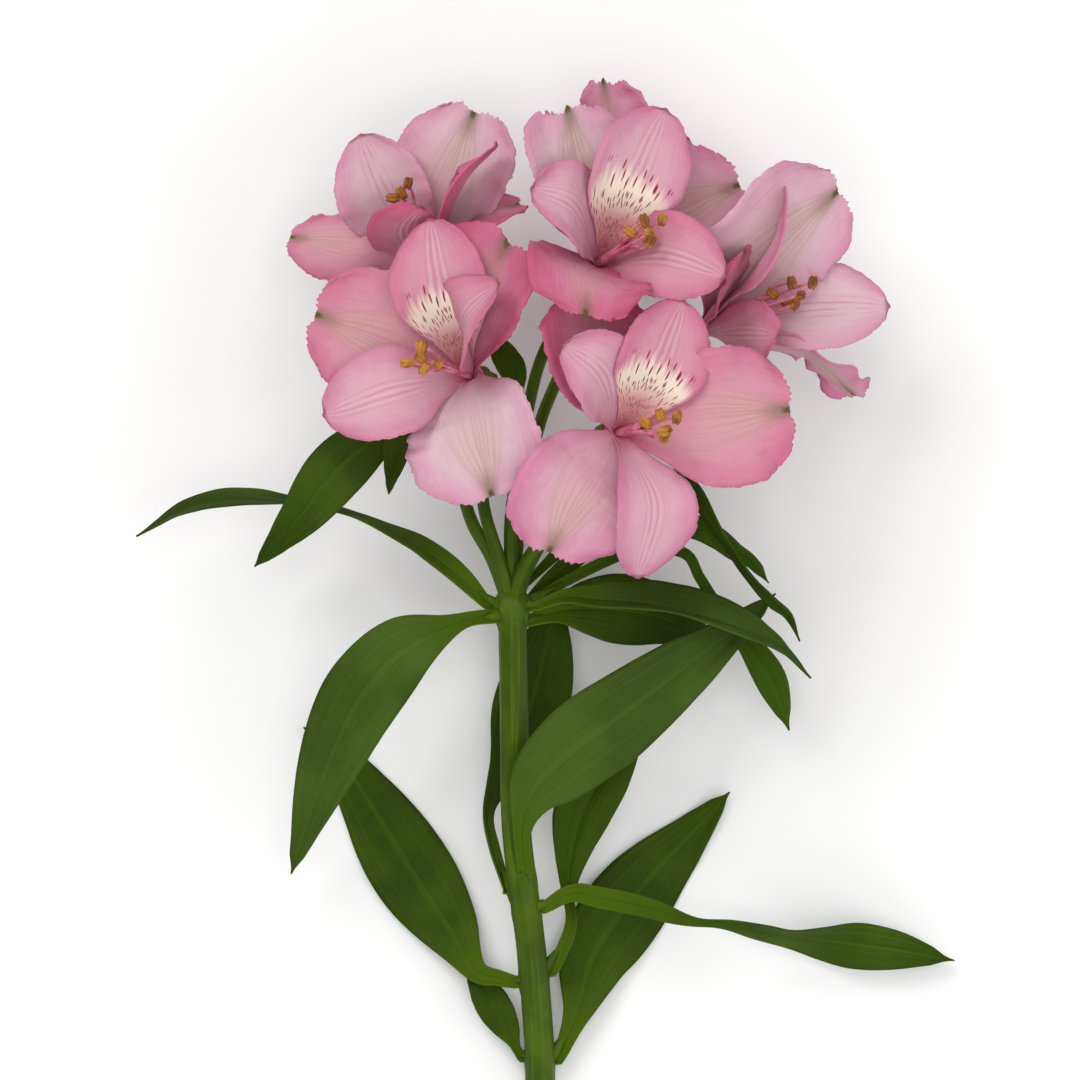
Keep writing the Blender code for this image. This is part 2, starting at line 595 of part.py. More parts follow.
def build_tepals(name, plant, bench):
    """The six tepals of a bloom, joined at their seat."""
    bloom = BLOOMS[name]
    seat, facing = Vector(bloom["seat"]), Vector(bloom["facing"]).normalized()
    pieces = [disc("seat", seat, facing, (SEAT_RADIUS, SEAT_RADIUS), SEAT_HEIGHT, bench)]
    for kind, via, tip, twist, width, cup in bloom["tepals"]:
        make = TEPALS[kind]
        tip = Vector(tip)
        across = facing.cross(tip).normalized()
        line = tepal_line(seat, facing, Vector(via), tip, make["rows"])
        grid = blade_surface(
            line, lambda run: across, width / 2, make["shape"], twist,
            cup, 0, 0.9, make["lobe"], make["columns"],
        )
        pieces.append(fixed(sheet_object("tepal", grid, PETAL_THICKNESS, bench)))
    return joined(f"bloom_{name}_tepals", pieces, PETAL, plant)


def build_stamens(name, plant, bench):
    """The stamens of a bloom: filaments from one foot, each with its anther."""
    bloom = BLOOMS[name]
    seat, facing = Vector(bloom["seat"]), Vector(bloom["facing"]).normalized()
    middle = Vector(bloom["anthers"])
    right = facing.orthogonal().normalized()
    up = facing.cross(right)
    foot = seat + facing * (SEAT_HEIGHT + GAP)
    pieces = [disc("foot", foot, facing, (1.2, 0.9), 1.6, bench)]
    for i in range(ANTHER_COUNT):
        angle = 2 * math.pi * i / ANTHER_COUNT
        spread = right * math.cos(angle) + up * math.sin(angle)
        reach = 1.0 - 0.12 * (i % 3)
        end = seat + middle * reach + spread * ANTHER_SPREAD
        start = foot + facing * 0.8 + spread * 0.5
        bow = start + facing * middle.length * 0.5
        line = interpolate_bezier(start, bow, end - facing * 6, end, FILAMENT_STEPS)
        pieces.append(tube("filament", line, [FILAMENT_RADIUS] * len(line), 4, bench))
        lean = (spread + up * 0.7).normalized()
        pieces.append(egg("anther", end, lean, ANTHER_LENGTH, ANTHER_RADIUS, 5, 3, bench))
    return joined(f"bloom_{name}_stamens", pieces, ANTHER, plant)


def main():
    clear_scene()
    plant = collection("alstroemeria_stem")
    bench = collection("bench")
    build_stem(plant, bench)
    for name, spec in LEAVES.items():
        build_leaf(name, spec, plant, bench)
    for name in BLOOMS:
        build_tepals(name, plant, bench)
        build_stamens(name, plant, bench)


main()
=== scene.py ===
"""Dresses the cut alstroemeria stem: fine tepals, stamens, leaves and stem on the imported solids.

The plant lies on its back on a table. +Y runs along the stem to the blooms and +Z is up. Lengths are in
millimetres until a mesh is made, angles are in degrees and colours are sRGB values from 0 to 255.
"""

import logging
import math
from dataclasses import dataclass, field
from enum import Enum
from functools import reduce
from typing import Callable, Optional, Sequence, Union

import bmesh
import bpy
from mathutils import Matrix, Vector, noise


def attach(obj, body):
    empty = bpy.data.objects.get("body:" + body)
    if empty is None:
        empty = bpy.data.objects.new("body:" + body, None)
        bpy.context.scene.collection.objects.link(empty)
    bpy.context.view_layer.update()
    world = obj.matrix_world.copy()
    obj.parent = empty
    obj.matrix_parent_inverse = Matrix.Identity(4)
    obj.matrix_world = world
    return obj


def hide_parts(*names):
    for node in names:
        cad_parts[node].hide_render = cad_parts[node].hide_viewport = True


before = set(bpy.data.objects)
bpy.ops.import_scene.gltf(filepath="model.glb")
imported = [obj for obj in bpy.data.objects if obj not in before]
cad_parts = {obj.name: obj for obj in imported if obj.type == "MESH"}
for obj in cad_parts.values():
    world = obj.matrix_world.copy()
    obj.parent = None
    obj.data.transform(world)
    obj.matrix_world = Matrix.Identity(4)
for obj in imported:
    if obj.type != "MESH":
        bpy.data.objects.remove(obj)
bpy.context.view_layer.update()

LOG = logging.getLogger("alstroemeria")
MM = 0.001
ROOT = "root"
UV_NAME = "UVMap"
# Fine steps between two points of a smooth line.
STEPS_A_SPAN = 40
# The power by which the columns of a blade crowd towards its midrib.
CROWDED = 1.15
# How far a blade stays over the table, in its own thicknesses.
OVER_TABLE = 0.6
# Points closer than this many metres are one.
MERGE_WITHIN = 1e-7
# What is shorter or flatter than this counts as nothing.
TINY = 1e-3
UP = Vector((0.0, 0.0, 1.0))

Triple = tuple[float, float, float]
Mesh = bmesh.types.BMesh
Socket = bpy.types.NodeSocket
Value = Union[Socket, float]
Colour = Union[Socket, Triple]
Surface = Callable[[int, float, int], Vector]


class Tone(Enum):
    """How strongly a tepal is coloured."""

    PALE = "pale"
    MID = "mid"
    ROSE = "rose"
    DEEP = "deep"


class Kind(Enum):
    """The kinds of tepal in a bloom, by their outline and their marks."""

    OUTER = "outer"
    INNER = "inner"
    SPOTTED = "spotted"
    SIDE_SPOTTED = "side_spotted"


class LeafTone(Enum):
    """How yellow, dark or grey a leaf is."""

    FRESH = "fresh"
    DEEP = "deep"
    GREY = "grey"


def spline(points: Sequence[Union[Vector, float]], share: float) -> Union[Vector, float]:
    """Finds the place at a share of the way along a smooth curve.

    Args:
        points: Vectors or numbers that the curve passes through.
        share: From 0 at the first point to 1 at the last.

    Returns:
        The vector or number there.
    """
    last = len(points) - 1
    reach = min(max(share, 0.0), 1.0) * last
    i = min(int(reach), last - 1)
    t = reach - i
    p1, p2 = points[i], points[i + 1]
    p0 = points[i - 1] if i > 0 else 2 * p1 - p2
    p3 = points[i + 2] if i + 2 <= last else 2 * p2 - p1
    bend = 2 * p0 - 5 * p1 + 4 * p2 - p3
    turn = 3 * p1 - p0 - 3 * p2 + p3
    return 0.5 * (2 * p1 + (p2 - p0) * t + bend * t * t + turn * t**3)


def even_line(points: Sequence[Union[Vector, Triple]], count: int) -> list[Vector]:
    """Spaces points evenly along the smooth curve through the given ones.

    Args:
        points: The points the curve passes through.
        count: How many steps to take.

    Returns:
        count + 1 points.
    """
    points = [Vector(p) for p in points]
    fine = STEPS_A_SPAN * (len(points) - 1)
    dense = [spline(points, k / fine) for k in range(fine + 1)]
    reach = [0.0]
    for a, b in zip(dense, dense[1:]):
        reach.append(reach[-1] + (b - a).length)
    line, k = [], 0
    for step in range(count + 1):
        goal = reach[-1] * step / count
        while k < fine - 1 and reach[k + 1] < goal:
            k += 1
        span = max(reach[k + 1] - reach[k], 1e-9)
        line.append(dense[k].lerp(dense[k + 1], min((goal - reach[k]) / span, 1.0)))
    return line


def tangents(line: Sequence[Vector]) -> list[Vector]:
    """Finds the way a line runs at each of its points."""
    ends = [line[0], *line, line[-1]]
    return [(ends[i + 2] - ends[i]).normalized() for i in range(len(line))]


def smooth(value: float, low: float, high: float) -> float:
    """Eases from 0 at low to 1 at high; low may be over high."""
    t = min(max((value - low) / (high - low), 0.0), 1.0)
    return t * t * (3 - 2 * t)


@dataclass
class Blade:
    """A leaf or tepal surface along a midrib, with a width, a roll and a curve across it.

    Attributes:
        line: The points of the midrib.
        side_at: Gives the way across for the way the midrib runs.
        half_width: Half the greatest width.
        shape: The half widths from base to tip, as shares of half_width.
        rolls: How far it is turned about its midrib, from base to tip.
        cup: How far its margins curve up.
        fold: How steeply its two halves fold up from the midrib.
        wave: How high its slow waves are.
        skew: How much wider one half is than the other.
        lobes: How far its end runs on beside the notch, right and left.
        blunt: How round its end is, from 0 to 1.
        blunt_from: Where along the blade that rounding starts.
        blunt_reach: The share of the length that it takes.
        pointed: Whether it runs out to a point.
        point_reach: The share of the length that the point takes.
        least: The least half width, as a share of half_width.
        nib: How long the small point at the tip is.
        teeth: How deep the fine teeth of its margin are.
        nicks: How deep the broader nicks of its margin are.
        ruffle: How high the ruffles of its margin are.
        ruffles: How many ruffles there are along it.
        crinkle: How uneven its face is.
        rib: How deep the grooves along it are.
        rib_width: How wide they are, as a share of the half width.
        rib_places: Where across the blade they run, from -1 to 1.
        channel: How far its base is rolled into a channel.
        seed: Which noise makes it uneven.
    """

    line: list[Vector]
    side_at: Callable[[Vector], Vector]
    half_width: float
    shape: Sequence[float]
    rolls: Sequence[float]
    cup: float = 0.0
    fold: float = 0.0
    wave: float = 0.8
    skew: float = 0.0
    lobes: tuple[float, float] = (0.0, 0.0)
    blunt: float = 0.0
    blunt_from: float = 0.70
    blunt_reach: float = 0.30
    pointed: bool = False
    point_reach: float = 0.05
    least: float = 0.01
    nib: float = 0.0
    teeth: float = 0.0
    nicks: float = 0.0
    ruffle: float = 0.0
    ruffles: float = 4.5
    crinkle: float = 0.4
    rib: float = 0.1
    rib_width: float = 0.05
    rib_places: Sequence[float] = (0.0,)
    channel: float = 0.0
    seed: float = 0.0

    def rows(self) -> int:
        """Counts the steps from base to tip."""
        return len(self.line) - 1

    def wander(self, share: float, v: float, pace: float, shift: float = 0.0) -> float:
        """Gives an even noise, about -0.5 to 0.5, that changes along and across the blade.

        Args:
            share: How far along it is, from 0 to 1.
            v: How far across it is, from -1 to 1.
            pace: How fast the noise changes along the blade.
            shift: Which of several noises it is.

        Returns:
            The noise there.
        """
        return noise.noise(Vector((share * pace, v * pace * 0.3 + shift, self.seed + shift)))

    def half(self, share: float) -> float:
        """Gives the half width: along the outline, and blunt or pointed at the tip.

        Args:
            share: How far along it is, from 0 to 1.

        Returns:
            The half width in millimetres.
        """
        half = spline(self.shape, share)
        if self.blunt and share > self.blunt_from:
            t = (share - self.blunt_from) / self.blunt_reach
            full = spline(self.shape, self.blunt_from)
            half += self.blunt * (full * math.sqrt(max(1 - t * t, 0.0)) - half)
            half *= 1 - 0.75 * smooth(share, 1 - self.nib / 30, 1 - self.nib / 50)
        if self.pointed:
            half *= min((1 - share) / self.point_reach, 1.0) ** 0.7
        return self.half_width * max(half, self.least)

    def lift(self, share: float, v: float, half: float) -> float:
        """Gives the height over the flat: cupped, folded, waved and ribbed.

        Args:
            share: How far along it is, from 0 to 1.
            v: How far across it is, from -1 to 1.
            half: The half width there.

        Returns:
            The height in millimetres.
        """
        edge = abs(v)
        lift = self.wave * v * v * math.sin(2 * math.pi * (1.6 * share + 0.25 * v)) * share
        grown = 0.25 + edge
        lift += self.crinkle * grown * self.wander(share, v, 5.0) * smooth(share, 0.1, 0.5)
        lift += 0.4 * self.crinkle * grown * self.wander(share, v, 15.0, 7.3) * smooth(share, 0.2, 0.5)
        swing = self.ruffles * share + 0.8 * self.wander(share, 0.3 * v, 3.0, 2.0) + (0.35 if v > 0 else 0.0)
        lift += self.ruffle * edge**3 * math.sin(2 * math.pi * swing) * smooth(share, 0.25, 0.6)
        lift *= min(3.0 * half / self.half_width, 1.0)
        lift += half * edge * math.tan(math.radians(self.fold))
        for rib in self.rib_places:
            ridge = math.exp(-(((v - rib) / self.rib_width) ** 2))
            lift -= self.rib * ridge * smooth(1 - share, 0.02, 0.25)
        return lift

    def place(self) -> Surface:
        """Prepares the surface.

        Returns:
            A function from row, place across (-1 to 1) and column to a point.
        """
        frames = []
        for row, (centre, run) in enumerate(zip(self.line, tangents(self.line))):
            share = row / self.rows()
            across = self.side_at(run)
            across = (across - across.dot(run) * run).normalized()
            roll = math.radians(spline(self.rolls, share))
            face = run.cross(across)
            across = across * math.cos(roll) + face * math.sin(roll)
            frames.append((centre, run, across, run.cross(across)))

        def point(row: int, v: float, column: int) -> Vector:
            """Finds one point of the surface.

            Args:
                row: The step along the midrib.
                v: How far across it is, from -1 to 1.
                column: The number of the cell across.

            Returns:
                The point in millimetres.
            """
            centre, run, across, face = frames[row]
            share = row / self.rows()
            edge = abs(v)
            half = self.half(share) * (1 + math.copysign(self.skew, v))
            arc = math.radians(self.cup) * math.sin(math.pi * min(share + 0.15, 1.0) * 0.75)
            arc += math.radians(self.channel) * (1 - smooth(share, 0.0, 0.35))
            arc = arc if abs(arc) > TINY else TINY
            out = half * math.sin(arc * v) / arc
            lift = half * (1 - math.cos(arc * v)) / arc + self.lift(share, v, half)
            tip = max(share - 0.6, 0.0) * 2.5
            ahead = self.lobes[0 if v > 0 else 1] * math.sin(math.pi * edge**0.8) * tip
            grown = smooth(share, 0.30, 0.55)
            notch = self.teeth * (0.75 + self.wander(share, v, 60.0, 4.0))
            nick = self.nicks * (self.wander(share, v, 11.0, 9.0) + 0.5 * self.wander(share, v, 26.0, 5.0))
            out += math.copysign(nick * edge**6 * grown, v)
            if edge > 0.999:
                out += math.copysign(notch * (0.5 if row % 2 else -0.5) * grown, v)
            if row == self.rows() and not self.blunt:
                ahead += notch * (0.5 if column % 2 else -0.5) * smooth(edge, 0.05, 0.2)
            ahead += nick * 0.8 * smooth(share, 0.8, 1.0) * smooth(edge, 0.1, 0.4) * (1 - edge**8)
            ahead += self.nib * smooth(edge, 0.10, 0.02) * smooth(share, 0.93, 1.0) * (not self.blunt)
            return centre + across * out + face * lift + run * ahead

        return point


def empty_mesh() -> Mesh:
    """Starts a mesh that has a UV map.

    Returns:
        The mesh.
    """
    bm = bmesh.new()
    bm.loops.layers.uv.new(UV_NAME)
    return bm


def grid_mesh(rows: int, columns: int, place: Surface, centred: float = 1.0) -> Mesh:
    """Lays a grid on a surface.

    Args:
        rows: Cells from base to tip.
        columns: Cells from edge to edge.
        place: Gives the point for a row, a place across and a column.
        centred: Over 1, columns crowd towards the middle.

    Returns:
        The mesh, with a UV map across and along the surface.
    """
    bm = empty_mesh()
    bmesh.ops.create_grid(bm, x_segments=columns, y_segments=rows, size=1.0, calc_uvs=True)
    uv_layer = bm.loops.layers.uv.active
    where = {}
    for vert in bm.verts:
        column = round((vert.co.x + 1) / 2 * columns)
        row = round((vert.co.y + 1) / 2 * rows)
        v = 2 * column / columns - 1
        where[vert] = (row, math.copysign(abs(v) ** centred, v), column)
    for face in bm.faces:
        for loop in face.loops:
            row, v, _ = where[loop.vert]
            loop[uv_layer].uv = ((v + 1) / 2, row / rows)
    for vert, (row, v, column) in where.items():
        vert.co = place(row, v, column) * MM
    return bm


def finished(name: str, bm: Mesh, finishes: Sequence[bpy.types.Material]) -> bpy.types.Object:
    """Turns a mesh under construction into a named, smooth-shaded object.

    Args:
        name: The object's name.
        bm: The mesh, which is freed.
        finishes: Its materials, in slot order.

    Returns:
        The new object, at the origin.
    """
    mesh = bpy.data.meshes.new(name)
    bm.to_mesh(mesh)
    bm.free()
    for finish in finishes:
        mesh.materials.append(finish)
    mesh.shade_smooth()
    obj = bpy.data.objects.new(name, mesh)
    bpy.context.scene.collection.objects.link(obj)
    return obj


def sheet_piece(name: str, blade: Blade, columns: int, thickness: float,
                finishes: Sequence[bpy.types.Material]) -> bpy.types.Object:
    """Makes a thin solid blade whose two faces have their own finishes.

    Args:
        name: The piece's name.
        blade: Its surface.
        columns: Cells from edge to edge.
        thickness: From face to face.
        finishes: The inner or upper face's finish, then the other's.

    Returns:
        The piece.
    """
    bm = grid_mesh(blade.rows(), columns, blade.place(), CROWDED)
    bmesh.ops.reverse_faces(bm, faces=bm.faces)
    for vert in bm.verts:
        vert.co.z = max(vert.co.z, thickness * MM * OVER_TABLE)
    obj = finished(name, bm, finishes)
    wall = obj.modifiers.new("Thickness", "SOLIDIFY")
    wall.thickness = thickness * MM
    wall.offset = 0.0
    wall.material_offset = 1
    wall.material_offset_rim = 0
    return obj


def tube_mesh(line: Sequence[Vector], radius_at: Callable[[int, float], float], sides: int) -> Mesh:
    """Wraps a grid round a line and closes its ends.

    Args:
        line: The middle of the tube.
        radius_at: The radius for a row and an angle in radians.
        sides: Cells round the tube.

    Returns:
        A closed mesh with a UV map round and along the tube.
    """
    runs = tangents(line)
    right = runs[0].cross(UP)
    right = right.normalized() if right.length > TINY else Vector((1.0, 0.0, 0.0))
    frames = []
    for run in runs:
        right = (right - right.dot(run) * run).normalized()
        frames.append((right.copy(), right.cross(run)))

    def place(row: int, v: float, column: int) -> Vector:
        """Finds one point of the tube.

        Args:
            row: The step along the line.
            v: How far round it is, from -1 to 1.
            column: The number of the cell round, which isn't needed.

        Returns:
            The point in millimetres.
        """
        angle = math.pi * (v + 1)
        side, top = frames[row]
        radius = radius_at(row, angle)
        return line[row] + (side * math.cos(angle) + top * math.sin(angle)) * radius

    bm = grid_mesh(len(line) - 1, sides, place)
    bmesh.ops.remove_doubles(bm, verts=bm.verts, dist=MERGE_WITHIN)
    bmesh.ops.holes_fill(bm, edges=[e for e in bm.edges if e.is_boundary], sides=0)
    bmesh.ops.recalc_face_normals(bm, faces=bm.faces)
    return bm


def linear(colour: Triple) -> tuple[float, float, float, float]:
    """Turns an sRGB colour into the linear values that shaders take.

    Args:
        colour: Red, green and blue from 0 to 255.

    Returns:
        Linear red, green and blue, and full alpha.
    """
    values = []
    for value in colour:
        share = value / 255
        values.append(share / 12.92 if share <= 0.04045 else ((share + 0.055) / 1.055) ** 2.4)
    return (*values, 1.0)


class Graph:
    """Builds the nodes of one material round its Principled BSDF."""

    def __init__(self, name: str) -> None:
        """Starts a material and reads the places on its piece.

        Args:
            name: What the material is called.
        """
        self.material = bpy.data.materials.new(name)
        self.material.use_nodes = True
        self.tree = self.material.node_tree
        self.shader = self.tree.nodes["Principled BSDF"]
        uv = self.tree.nodes.new("ShaderNodeUVMap")
        uv.uv_map = UV_NAME
        self.uv = uv.outputs["UV"]
        split = self.tree.nodes.new("ShaderNodeSeparateXYZ")
        self.tree.links.new(self.uv, split.inputs[0])
        self.across, self.along = split.outputs["X"], split.outputs["Y"]
        self.place = self.tree.nodes.new("ShaderNodeTexCoord").outputs["Object"]

    def _feed(self, socket: Socket, value: Union[Socket, float, Sequence[float]]) -> None:
        """Links an input, or sets its number or colour.

        Args:
            socket: The input.
            value: The output to link, or a plain value.
        """
        if isinstance(value, bpy.types.NodeSocket):
            self.tree.links.new(value, socket)
        else:
            socket.default_value = value

    def math(self, operation: str, a: Value, b: Value = 0.0) -> Socket:
        """Adds a Math node.

        Args:
            operation: Blender's name for what it does.
            a: The first value.
            b: The second value, where it takes one.

        Returns:
            The result.
        """
        node = self.tree.nodes.new("ShaderNodeMath")
        node.operation = operation
        for socket, value in zip(node.inputs, (a, b)):
            self._feed(socket, value)
        return node.outputs[0]

    def times(self, first: Value, *others: Value) -> Socket:
        """Multiplies values from left to right."""
        return reduce(lambda a, b: self.math("MULTIPLY", a, b), others, first)

    def plus(self, first: Value, *others: Value) -> Socket:
        """Adds values from left to right."""
        return reduce(lambda a, b: self.math("ADD", a, b), others, first)

    def minus(self, a: Value, b: Value) -> Socket:
        """Takes the second value from the first."""
        return self.math("SUBTRACT", a, b)

    def sway(self, value: Value, amount: float) -> Socket:
        """Turns a value about 0.5 into one about 0 and scales it."""
        return self.times(self.minus(value, 0.5), amount)

    def sides(self) -> tuple[Socket, Socket]:
        """Gives the place across from -1 to 1, and the same without its sign."""
        offset = self.minus(self.times(self.across, 2.0), 1.0)
        return offset, self.math("ABSOLUTE", offset)

    def ease(self, value: Value, low: float, high: float) -> Socket:
        """Eases a value from 0 at low to 1 at high.

        Args:
            value: The value.
            low: Where the result is 0; it may be over high.
            high: Where the result is 1.

        Returns:
            The eased value.
        """
        node = self.tree.nodes.new("ShaderNodeMapRange")
        node.interpolation_type = "SMOOTHSTEP"
        self._feed(node.inputs["Value"], value)
        node.inputs["From Min"].default_value = min(low, high)
        node.inputs["From Max"].default_value = max(low, high)
        node.inputs["To Min"].default_value = 0.0 if low < high else 1.0
        node.inputs["To Max"].default_value = 1.0 if low < high else 0.0
        return node.outputs["Result"]

    def mix(self, share: Value, a: Colour, b: Colour) -> Socket:
        """Mixes two colours.

        Args:
            share: How much of the second there is, from 0 to 1.
            a: The first colour, an sRGB triple or a socket.
            b: The second colour.

        Returns:
            The mixed colour.
        """
        node = self.tree.nodes.new("ShaderNodeMix")
        node.data_type = "RGBA"
        for socket, value in ((node.inputs[0], share), (node.inputs[6], a), (node.inputs[7], b)):
            self._feed(socket, linear(value) if isinstance(value, tuple) else value)
        return node.outputs[2]

    def wash(self, colour: Colour, over: Colour, share: Value, strength: float) -> Socket:
        """Lays a second colour over a first one by a share of some strength."""
        return self.mix(self.times(share, strength), colour, over)

    def vector(self, x: Value, y: Value) -> Socket:
        """Joins two values into a flat vector.

        Args:
            x: The first value.
            y: The second value.

        Returns:
            The vector.
        """
        node = self.tree.nodes.new("ShaderNodeCombineXYZ")
        for socket, value in zip(node.inputs, (x, y)):
            self._feed(socket, value)
        return node.outputs[0]

    def noise(self, vector: Socket, scale: float, detail: float = 2.0) -> Socket:
        """Adds a Noise texture.

        Args:
            vector: Where it is read.
            scale: How fine it is.
            detail: How many finer layers it has.

        Returns:
            A value about 0.5.
        """
        node = self.tree.nodes.new("ShaderNodeTexNoise")
        self._feed(node.inputs["Vector"], vector)
        node.inputs["Scale"].default_value = scale
        node.inputs["Detail"].default_value = detail
        return node.outputs["Fac"]

    def cells(self, vector: Socket, jitter: float) -> tuple[Socket, Socket]:
        """Adds a flat Voronoi texture.

        Args:
            vector: Where it is read.
            jitter: How unevenly its cells lie, from 0 to 1.

        Returns:
            The distance from the middle of the cell, and the cell's colour.
        """
        node = self.tree.nodes.new("ShaderNodeTexVoronoi")
        node.voronoi_dimensions = "2D"
        self._feed(node.inputs["Vector"], vector)
        node.inputs["Scale"].default_value = 1.0
        node.inputs["Randomness"].default_value = jitter
        return node.outputs["Distance"], node.outputs["Color"]

    def lines(self, count: float, run: float, wander: float = 0.02) -> Socket:
        """Draws uneven lines that run from base to tip.

        Args:
            count: How many there are from edge to edge, about.
            run: How often they change along the blade.
            wander: How far they stray sideways.

        Returns:
            A value about 0.5, with the lines below and above it.
        """
        stray = self.sway(self.noise(self.uv, 3.0), wander)
        across = self.times(self.plus(self.across, stray), count)
        return self.noise(self.vector(across, self.times(self.along, run)), 1.0, 3.0)

    def glow(self, weight: float, reach: float, spread: Triple = (1.0, 0.2, 0.1), gloss: float = 0.5) -> None:
        """Sets how light sinks into the tissue and how much of it the surface throws back.

        Args:
            weight: How much light sinks in, from 0 to 1.
            reach: How far it goes, in millimetres.
            spread: How far red, green and blue go, as shares of that.
            gloss: The specular level.
        """
        inputs = self.shader.inputs
        inputs["Subsurface Weight"].default_value = weight
        inputs["Subsurface Radius"].default_value = spread
        inputs["Subsurface Scale"].default_value = reach * MM
        inputs["Specular IOR Level"].default_value = gloss

    def close(self, colour: Socket, roughness: Value, bump: Socket, depth: float) -> bpy.types.Material:
        """Feeds the shader.

        Args:
            colour: The base colour.
            roughness: A number or a socket.
            bump: The height of the relief.
            depth: How high that relief is, in millimetres.

        Returns:
            The finished material.
        """
        self._feed(self.shader.inputs["Base Color"], colour)
        self._feed(self.shader.inputs["Roughness"], roughness)
        node = self.tree.nodes.new("ShaderNodeBump")
        node.inputs["Strength"].default_value = 1.0
        node.inputs["Distance"].default_value = depth * MM
        self._feed(node.inputs["Height"], bump)
        self.tree.links.new(node.outputs["Normal"], self.shader.inputs["Normal"])
        return self.material


PINKS = {
    Tone.PALE: ((208, 178, 187), (205, 162, 178), (199, 138, 163)),
    Tone.MID: ((205, 160, 175), (201, 141, 163), (194, 117, 148)),
    Tone.ROSE: ((202, 142, 159), (199, 125, 149), (192, 107, 138)),
    Tone.DEEP: ((196, 122, 146), (192, 103, 134), (185, 84, 118)),
}
STRIPE = (194, 166, 152)
STRIPE_VEIN = (146, 120, 94)
GREEN_POINT = (86, 76, 26)
CREAM = (236, 224, 202)
DASH = (136, 10, 56)
THROAT_PINK = (200, 96, 124)
CLAW = (148, 64, 68)


@dataclass(frozen=True)
class Dashes:
    """One zone of dark dashes along a spotted tepal.

    Attributes:
        across: How many columns of dashes there are to each half width.
        along: How many rows there are in the whole length.
        size: How thick a dash is, as a share of its cell.
        start: Where along the tepal the zone starts.
        end: Where it ends.
        shift: Moves the rows, so that the zones differ.
    """

    across: float
    along: float
    size: float
    start: float
    end: float
    shift: float


FRECKLES = (
    Dashes(across=10.5, along=5.6, size=0.16, start=0.44, end=0.69, shift=0.0),
    Dashes(across=14.5, along=9.0, size=0.17, start=0.28, end=0.54, shift=3.7),
    Dashes(across=20.0, along=14.0, size=0.19, start=0.10, end=0.36, shift=8.1),
)


